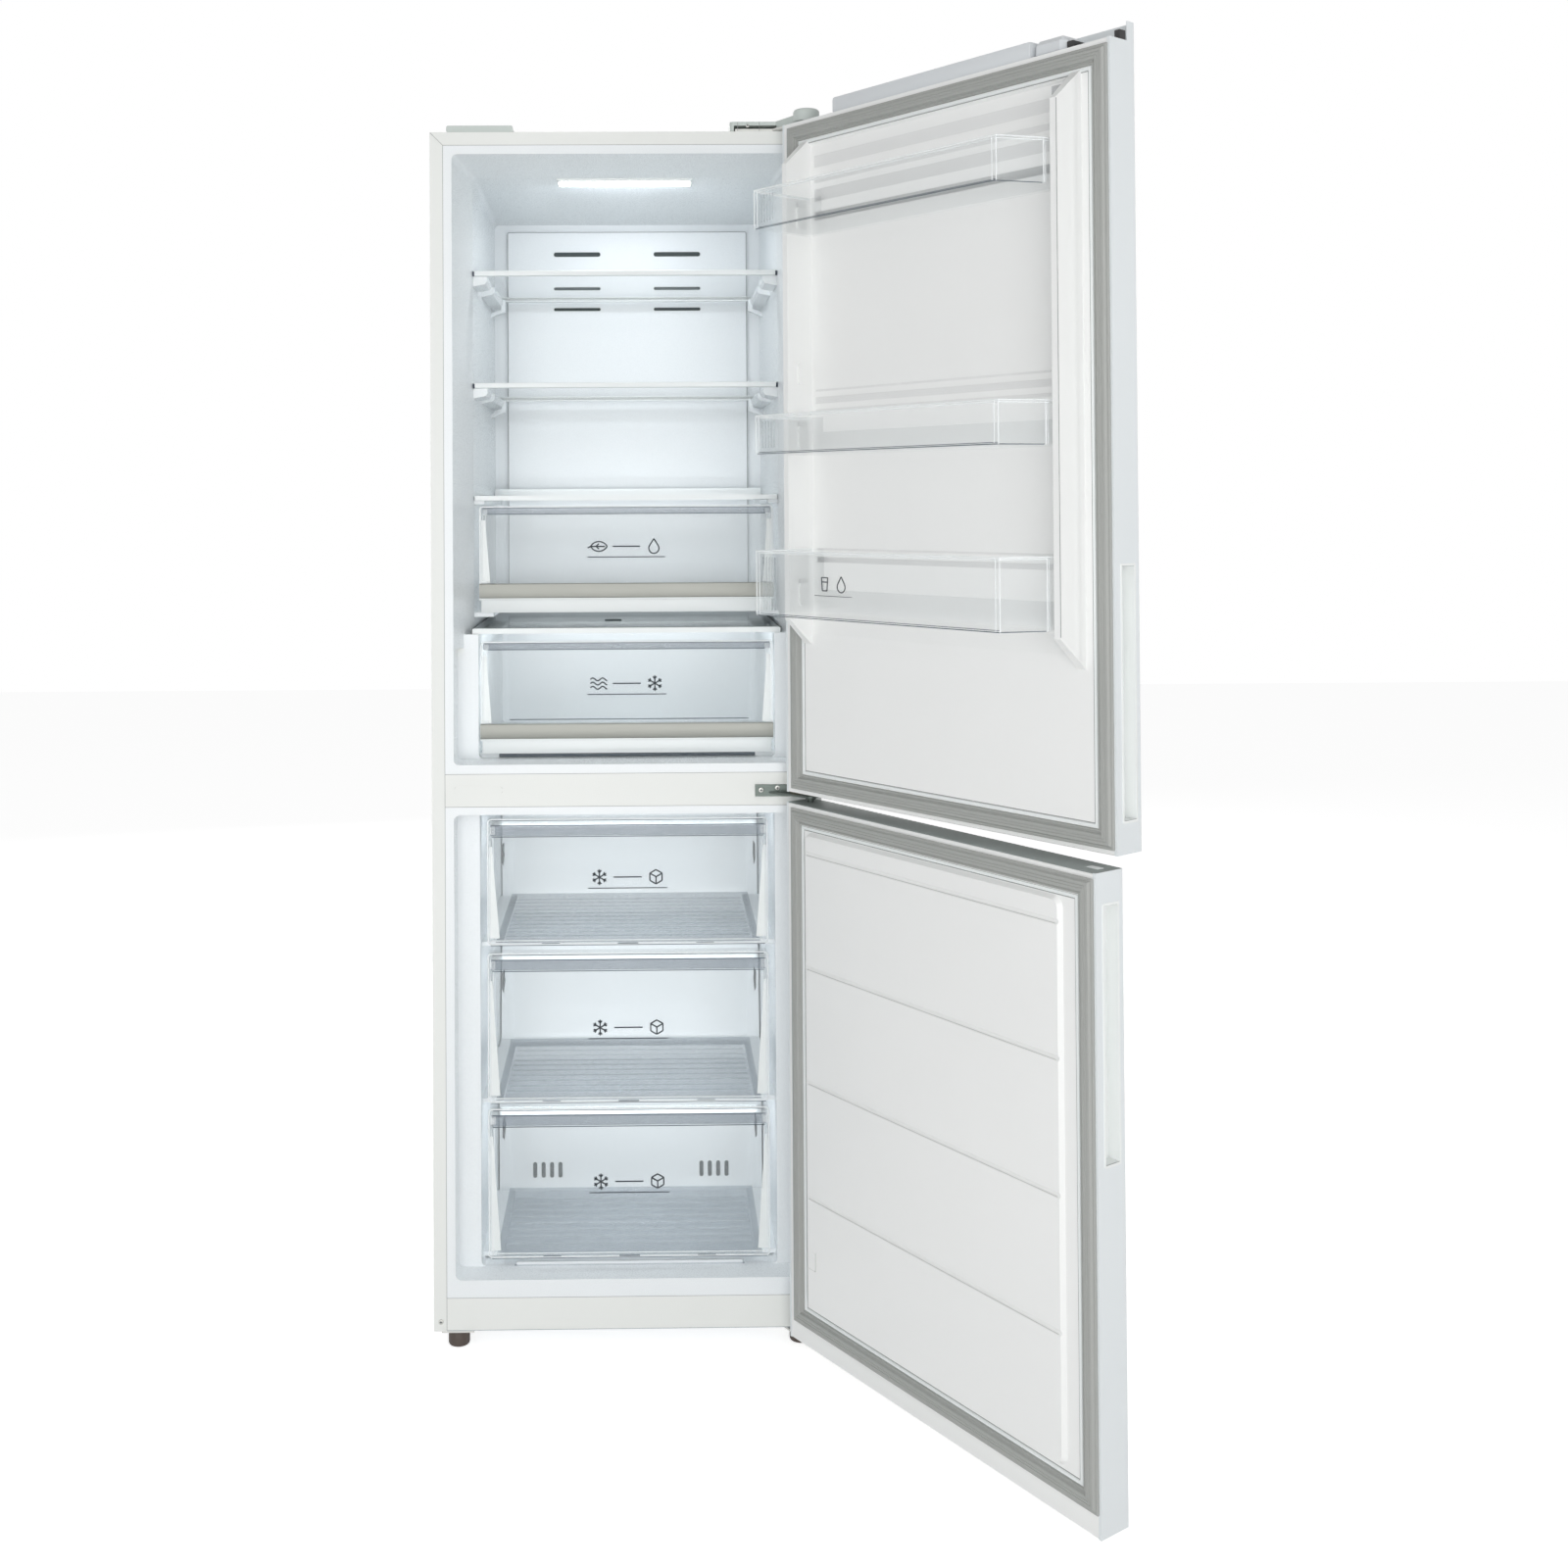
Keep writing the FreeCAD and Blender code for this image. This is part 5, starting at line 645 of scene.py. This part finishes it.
# ---- cabinet --------------------------------------------------------------------------------------------
def seams():
    """Thin shadow lines where sheets and mouldings meet on the front."""
    bm = bmesh.new()
    y0, y1 = -0.12, 0.5
    half, top = FLANGE_HALF, FRONT_SEAMS[-1]
    for x in (-half, half):
        slab(bm, x - 0.35, x + 0.35, y0, y1, 30.0, top, 0.1, 1)
    for z in FRONT_SEAMS:
        slab(bm, -half, half, y0, y1, z - 0.35, z + 0.35, 0.1, 1)
    for side in SIDES:
        tube(bm, [(side * (half + 0.1), -0.05, top + 0.1), (side * CORNER[0], -0.05, CORNER[1])], 0.35, 6)
    piece("front_seams", bm, "seam_grey", "cabinet", None)


def duct_looks():
    """Painted shade behind the air slots, their raised rims, and the duct panel's border."""
    bm = bmesh.new()
    for z, height in DUCT_SLOTS:
        for side in SIDES:
            x0, x1 = sorted((side * 46.0, side * 136.0))
            slab(bm, x0, x1, DUCT_FACE + 2.6, DUCT_FACE + 4.0, z - 2.5, z + height + 2.5, 0.3, 1)
    piece("duct_slot_shade_backs", bm, "shadow_grey", "cabinet", None)
    bm = bmesh.new()
    back, front = DUCT_FACE + 0.2, DUCT_FACE - 0.6
    profile = [(0.0, back), (0.4, front), (1.1, front), (1.5, back)]
    for z, height in DUCT_SLOTS:
        for side in SIDES:
            x0, x1 = sorted((side * 47.3, side * 135.2))
            round_frame(bm, x0, x1, z - 1.3, z + height + 1.3, height / 2.0 + 1.0, profile, 4)
    piece("duct_slot_rims", bm, "white_trim", "cabinet", None)
    bm = bmesh.new()
    back = DUCT_FACE + 0.4
    round_frame(bm, *DUCT_PANEL, 3.0, [(0.0, back), (0.1, front), (1.1, front), (1.2, back)], 3)
    piece("duct_border", bm, "seam_grey", "cabinet", None)


def return_slot_looks():
    """Painted shade behind the air return slots, their raised rims, and a painted shadow line on the
    freezer's sill.
    """
    bm = bmesh.new()
    for x in RETURN_SLOTS:
        slab(bm, x - 3.45, x + 3.45, RETURN_FACE + 0.7, RETURN_FACE + 1.5, 128.6, 155.4, 0.3, 1)
    piece("return_slot_shade_backs", bm, "slot_shade_black", "cabinet", None)
    bm = bmesh.new()
    back, front = RETURN_FACE + 0.2, RETURN_FACE - 0.8
    for x in RETURN_SLOTS:
        profile = [(0.0, back), (0.4, front), (1.0, front), (1.4, back)]
        round_frame(bm, x - 4.7, x + 4.7, 127.3, 156.7, 4.6, profile, 4)
    piece("return_slot_rims", bm, "white_trim", "cabinet", None)
    # painted shadow of the bottom drawer on the freezer's sill
    bm = bmesh.new()
    slab(bm, -178.0, 178.0, 46.0, 48.4, 104.9, 106.4, 0.2, 1)
    piece("freezer_sill_shadow", bm, "rim_shade", "cabinet", None)


def light_strip():
    """The lit strip under the light cover, which slopes with it."""
    bm = bmesh.new()
    section = ((-106.0, 0.0), (106.0, 0.0), (106.0, 0.5), (-106.0, 0.5))
    rings = [[(x, y, z - down) for x, down in section] for y, z in ((134.0, 1803.9), (160.0, 1803.05))]
    skin(bm, rings, close_row=True, caps=True)
    piece("light_strip", bm, "light_cover", "cabinet", None)


def beam_pad_line():
    """Line round the raised pad on the middle rail."""
    bm = bmesh.new()
    round_frame(bm, *BEAM_PAD, 4.6, [(0.0, 0.3), (0.2, -0.55), (0.7, -0.55), (0.9, 0.3)], 5)
    piece("beam_pad_line", bm, "seam_grey", "cabinet", None)


def grip_line(bm, z0, z1, radius):
    """Painted shade line round the grip's recess on a door's free edge."""
    corners = ((GRIP_FRONT, z0), (GRIP_FRONT, z1), (GRIP_BACK, z1), (GRIP_BACK, z0), (GRIP_FRONT, z0))
    tube(bm, [(GRIP_FACE, y, z) for y, z in corners], radius, 6)


def door_shades():
    """Painted soft shadows and reflections on the upper door's inner face, and painted shade lines on both
    doors.
    """
    y0, y1 = DOOR_RECESS, DOOR_RECESS + 0.2
    bm = bmesh.new()
    slab(bm, -239.5, -206.0, y0, y1, 1110.0, 1812.0, 0.05, 1)
    piece("upper_door_rib_shadow", bm, "soft_shade", "upper_door", "upper")
    bm = bmesh.new()
    strips = ((1780.0, 1798.0), (1757.0, 1766.0), (1730.0, 1748.0), (1702.0, 1714.0), (1448.0, 1451.0),
              (1430.0, 1440.0), (1417.0, 1422.0), (1214.0, 1217.0), (1196.0, 1204.0))
    for low, high in strips:
        slab(bm, -205.5, 232.0, y0, y1, low, high, 0.05, 1)
    piece("upper_door_reflections", bm, "faint_shade", "upper_door", "upper")
    # painted shade lines along the free rib's edges and round the grip's recess
    bm = bmesh.new()
    for x in RIB_EDGES:
        tube(bm, [(x, RIB_CREST, z) for z in RIB_ENDS], 0.45, 6)
    grip_line(bm, *UPPER_GRIP, 0.5)
    piece("upper_door_shade_lines", bm, "seam_grey", "upper_door", "upper")
    bm = bmesh.new()
    grip_line(bm, *LOWER_GRIP, 0.45)
    piece("lower_door_grip_shade_line", bm, "seam_grey", "lower_door", "lower")
    # painted shade lines along the pad's grooves and round its boss
    bm = bmesh.new()
    for z in PAD_GROOVES:
        tube(bm, [(-238.0, -1.2, z - 2.2), (244.0, -1.2, z - 2.2)], 0.45, 6)
    tube(bm, [(229.6, -0.8, 184.4), (229.6, -0.8, 157.6), (244.4, -0.8, 157.6)], 0.6, 6)
    piece("lower_door_groove_shade_lines", bm, "groove_shade", "lower_door", "lower")


def pan_screw(bm, x, y, z, radius, axis):
    """A pan head that faces the front (-Y) or the top (+Z)."""
    profile = [(0.0, 0.6), (0.42, 0.98), (0.75, 0.86), (0.95, 0.5), (1.0, 0.0)]
    circle = [(math.cos(math.tau * k / 20), math.sin(math.tau * k / 20)) for k in range(20)]
    rings = [[(share * c, share * w, lift) for c, w in circle] for share, lift in profile]
    turn = Matrix.Rotation(math.radians(90), 4, "X") if axis == "front" else Matrix.Identity(4)
    move = Matrix.Translation((x, y, z)) @ turn @ Matrix.Diagonal((radius, radius, 2.0, 1.0))
    verts_before = set(bm.verts)
    skin(bm, rings, close_row=True)
    fresh = [v for v in bm.verts if v not in verts_before]
    bmesh.ops.transform(bm, matrix=move, verts=fresh)


def cross_recess(bm, x, y, z, radius, axis):
    """The cross recess in a pan head, drawn as a dark cross of painted shade."""
    if axis == "front":
        slab(bm, x - radius, x + radius, y - 2.15, y - 1.2, z - 0.5, z + 0.5, 0.2, 1)
        slab(bm, x - 0.5, x + 0.5, y - 2.15, y - 1.2, z - radius, z + radius, 0.2, 1)
    else:
        slab(bm, x - radius, x + radius, y - 0.5, y + 0.5, z + 1.2, z + 2.15, 0.2, 1)
        slab(bm, x - 0.5, x + 0.5, y - radius, y + radius, z + 1.2, z + 2.15, 0.2, 1)


def screws():
    places = [(-286.5, 0.0, 43.0, "front"), (205.0, -3.0, 845.75, "front"), (230.0, -3.0, 848.75, "front"),
              (191.3, 26.0, 1860.0, "top"), (216.0, 26.0, 1860.0, "top"), (241.0, 26.0, 1860.0, "top")]
    bm = bmesh.new()
    for x, y, z, axis in places:
        pan_screw(bm, x, y, z, 4.0, axis)
    piece("screw_heads", bm, "zinc_steel", "cabinet", None, ["cabinet_screws"], 30.0)
    bm = bmesh.new()
    for x, y, z, axis in places:
        cross_recess(bm, x, y, z, 2.2, axis)
    piece("screw_recesses", bm, "shadow_grey", "cabinet", None)


def cover_looks():
    """Chiller cover: dark edge lines, ticks beside the airflow slider and the slider's grip.
    Shelves: dark ends of the front trims."""
    top = CHILLER_COVER
    bm = bmesh.new()
    for side in SIDES:
        x = side * 241.0
        tube(bm, [(x, 66.0, top - 0.2), (x, 446.0, top - 0.2)], 0.9, 6)
        x = side * 242.6
        slab(bm, x - 0.7, x + 0.7, 64.6, 78.0, top - 8.2, top + 0.4, 0.4, 1)
    for k in range(6):
        x = 60.0 + k * 6.0
        slab(bm, x - 0.5, x + 0.5, 226.0, 236.0 if k % 5 else 238.0, top - 0.1, top + 0.3, 0.1, 1)
    piece("chiller_cover_lines", bm, "shadow_grey", "cabinet", None)
    bm = bmesh.new()
    slab(bm, -239.0, 239.0, 77.5, 446.0, top - 0.05, top + 0.55, 0.2, 1)
    piece("chiller_cover_top", bm, "smoked_glass", "cabinet", None)
    bm = bmesh.new()
    for z in SHELVES:
        for side in SIDES:
            x = side * SHELF_HALF
            slab(bm, x - 1.3, x + 1.3, SHELF_FRONT, SHELF_FRONT + 2.4, z - 0.6, z + 7.0, 0.5, 1)
    piece("shelf_end_caps", bm, "gap_dark", "cabinet", None)
    bm = bmesh.new()
    slab(bm, -38.0, -9.9, 225.3, 234.7, top - 2.2, top + 2.2, 1.2, 2)
    for k in range(4):
        x = -29.0 + k * 4.0
        slab(bm, x - 0.7, x + 0.7, 226.5, 233.5, top + 1.8, top + 2.8, 0.4, 1)
    piece("airflow_grip", bm, "shadow_grey", "slider", None, ["airflow_slider"])


def hinge_looks():
    """Seams and the screw on the hinge cover's front, and the pin's sleeve on the middle hinge."""
    bm = bmesh.new()
    for x in (176.0, 209.0):
        slab(bm, x - 0.4, x + 0.4, 1.7, 3.0, 1857.0, 1870.2, 0.1, 1)
    piece("hinge_cover_seams", bm, "seam_grey", "cabinet", None)
    place = (191.0, 2.0, 1864.6)
    bm = bmesh.new()
    pan_screw(bm, *place, 3.0, "front")
    piece("hinge_cover_screw", bm, "zinc_steel", "cabinet", None)
    bm = bmesh.new()
    cross_recess(bm, *place, 1.7, "front")
    piece("hinge_cover_screw_recess", bm, "shadow_grey", "cabinet", None)
    bm = bmesh.new()
    tube(bm, [(251.0, -9.0, 845.0), (263.0, -22.0, 845.0)], 3.6, 16)
    piece("middle_hinge_sleeve", bm, "brass_pin", "cabinet", None)


def feet():
    """Levelling feet with a ribbed rim."""
    profile = [(0.0, 0.0), (13.6, 0.0), (15.4, 0.8), (16.3, 2.8), (16.3, 19.4), (15.2, 21.6), (13.8, 22.2),
               (13.8, 24.6), (5.0, 24.8), (5.0, 46.0), (0.0, 46.0)]
    for cx, name in FEET:
        bm = bmesh.new()
        rings = []
        for r, z in profile:
            ring = []
            for k in range(48):
                a = math.tau * k / 48
                notch = 0.8 if k % 4 == 0 and 2.0 < z < 20.0 else 0.0
                reach = max(r, 0.01) - notch
                ring.append((cx + reach * math.cos(a), FOOT_Y + reach * math.sin(a), z))
            rings.append(ring)
        skin(bm, rings, close_row=True)
        piece("foot_" + name + "_ribbed", bm, "foot_plastic", "foot_" + name, None,
              ["front_foot_" + name], 30.0)


# ---- camera, light and floor ----------------------------------------------------------------------
EYE = Vector((27.956, -2510.798, 1282.2))
CAMERA_TURN = (-0.678, 0.817, 0.324)           # yaw, pitch and roll in degrees
PICTURE = 1600.0                               # side of the square picture in pixels
FOCAL = 1672.247                               # in pixels
CENTRE = (676.403, 491.149)                    # pixel on the optical axis
SENSOR = 36.0


def camera():
    """The photo's camera, as the box-shaped cabinet gives it."""
    yaw, pitch, roll = (math.radians(a) for a in CAMERA_TURN)
    turn = Matrix.Rotation(yaw, 3, "Z") @ Matrix.Rotation(pitch, 3, "X") @ Matrix.Rotation(roll, 3, "Y")
    right, forward, up = turn.col
    data = bpy.data.cameras.new("Camera")
    data.sensor_width = SENSOR
    data.lens = SENSOR * FOCAL / PICTURE
    data.shift_x = (PICTURE / 2.0 - CENTRE[0]) / PICTURE
    data.shift_y = (CENTRE[1] - PICTURE / 2.0) / PICTURE
    data.clip_start = 0.05
    data.clip_end = 100.0
    cam = bpy.data.objects.new("Camera", data)
    bpy.context.scene.collection.objects.link(cam)
    axes = Matrix((right, up, -forward)).transposed().to_4x4()
    cam.matrix_world = Matrix.Translation(EYE * MM) @ axes
    bpy.context.scene.camera = cam


def area_light(name, place, target, size, power, colour=(1, 1, 1)):
    """A rectangular light at place that faces target. Places and sizes are in metres."""
    data = bpy.data.lights.new(name, "AREA")
    data.shape = "RECTANGLE"
    data.size, data.size_y = size
    data.energy = power
    data.color = colour
    light = bpy.data.objects.new(name, data)
    light.visible_camera = False
    bpy.context.scene.collection.objects.link(light)
    light.location = place
    light.rotation_euler = (Vector(target) - Vector(place)).to_track_quat("-Z", "Y").to_euler()


def shown_rays(tree):
    """1 on camera, glossy and transmission rays, so that they meet a white surrounding."""
    path = node(tree, "ShaderNodeLightPath")
    first = node(tree, "ShaderNodeMath", _operation="MAXIMUM")
    second = node(tree, "ShaderNodeMath", _operation="MAXIMUM")
    tree.links.new(path.outputs["Is Camera Ray"], first.inputs[0])
    tree.links.new(path.outputs["Is Glossy Ray"], first.inputs[1])
    tree.links.new(first.outputs[0], second.inputs[0])
    tree.links.new(path.outputs["Is Transmission Ray"], second.inputs[1])
    return second.outputs[0]


def world():
    """A white surrounding that lights the part less than it shows."""
    made = bpy.data.worlds.new("World")
    bpy.context.scene.world = made
    made.use_nodes = True
    tree = made.node_tree
    back = tree.nodes["Background"]
    back.inputs["Color"].default_value = (1, 1, 1, 1)
    level = node(tree, "ShaderNodeMapRange")
    level.inputs["To Min"].default_value = 0.38
    level.inputs["To Max"].default_value = 1.0
    tree.links.new(shown_rays(tree), level.inputs["Value"])
    tree.links.new(level.outputs["Result"], back.inputs["Strength"])


def floor():
    """A white floor that takes soft shadows and fades into the surrounding."""
    mesh = bpy.data.meshes.new("floor")
    bm = bmesh.new()
    bmesh.ops.create_grid(bm, x_segments=8, y_segments=8, size=9.0)
    bm.to_mesh(mesh)
    bm.free()
    obj = bpy.data.objects.new("floor", mesh)
    bpy.context.scene.collection.objects.link(obj)
    mat, tree, shader = new_material("floor")
    shader.inputs["Roughness"].default_value = 0.9
    shader.inputs["Specular IOR Level"].default_value = 0.0
    shader.inputs["Base Color"].default_value = (0.9, 0.9, 0.9, 1)
    shader.inputs["Emission Color"].default_value = (1, 1, 1, 1)
    level = node(tree, "ShaderNodeMapRange")
    level.inputs["To Min"].default_value = 0.0
    level.inputs["To Max"].default_value = 0.62
    tree.links.new(shown_rays(tree), level.inputs["Value"])
    tree.links.new(level.outputs["Result"], shader.inputs["Emission Strength"])
    mesh.materials.append(mat)


bpy.context.scene.view_settings.view_transform = "Standard"
dress_cad()
gaskets()
gasket_lips()
lower_top_plug()
upper_top_cap()
bin_edges()
drawer_looks()
signs()
seams()
duct_looks()
return_slot_looks()
screws()
light_strip()
beam_pad_line()
door_shades()
cover_looks()
hinge_looks()
feet()
camera()
world()
floor()
area_light("front", (0.1, -3.6, 1.1), (0.0, 0.2, 0.9), (2.6, 2.2), 52.0)
area_light("key", (-1.7, -3.0, 2.9), (0.1, 0.0, 0.9), (2.2, 2.2), 15.0)
area_light("back", (-0.6, 3.4, 2.2), (0.0, 0.3, 0.9), (2.6, 2.2), 42.0)
area_light("fridge_light", (0.0, 0.14, 1.785), (0.0, 0.42, 1.55), (0.2, 0.05), 0.25, (0.86, 0.91, 1.0))
area_light("side_fill", (1.7, -1.5, 1.7), (0.66, -0.5, 1.45), (0.3, 0.3), 4.0)
# small lights inside the drawers' front rims: y and z in metres, power in watts
ROOMS = ((0.128, 1.272, 0.21), (0.082, 1.058, 0.6), (0.066, 0.782, 0.3), (0.066, 0.574, 0.26),
         (0.066, 0.334, 0.34))
for number, (y, z, power) in enumerate(ROOMS):
    area_light("room_light_%d" % number, (0.0, y, z), (0.0, 0.3, z - 0.12), (0.4, 0.03), power,
               (0.93, 0.97, 1.0))
area_light("low_fill", (-0.1, -1.9, 0.35), (0.0, 0.3, 0.45), (0.9, 0.5), 1.2)
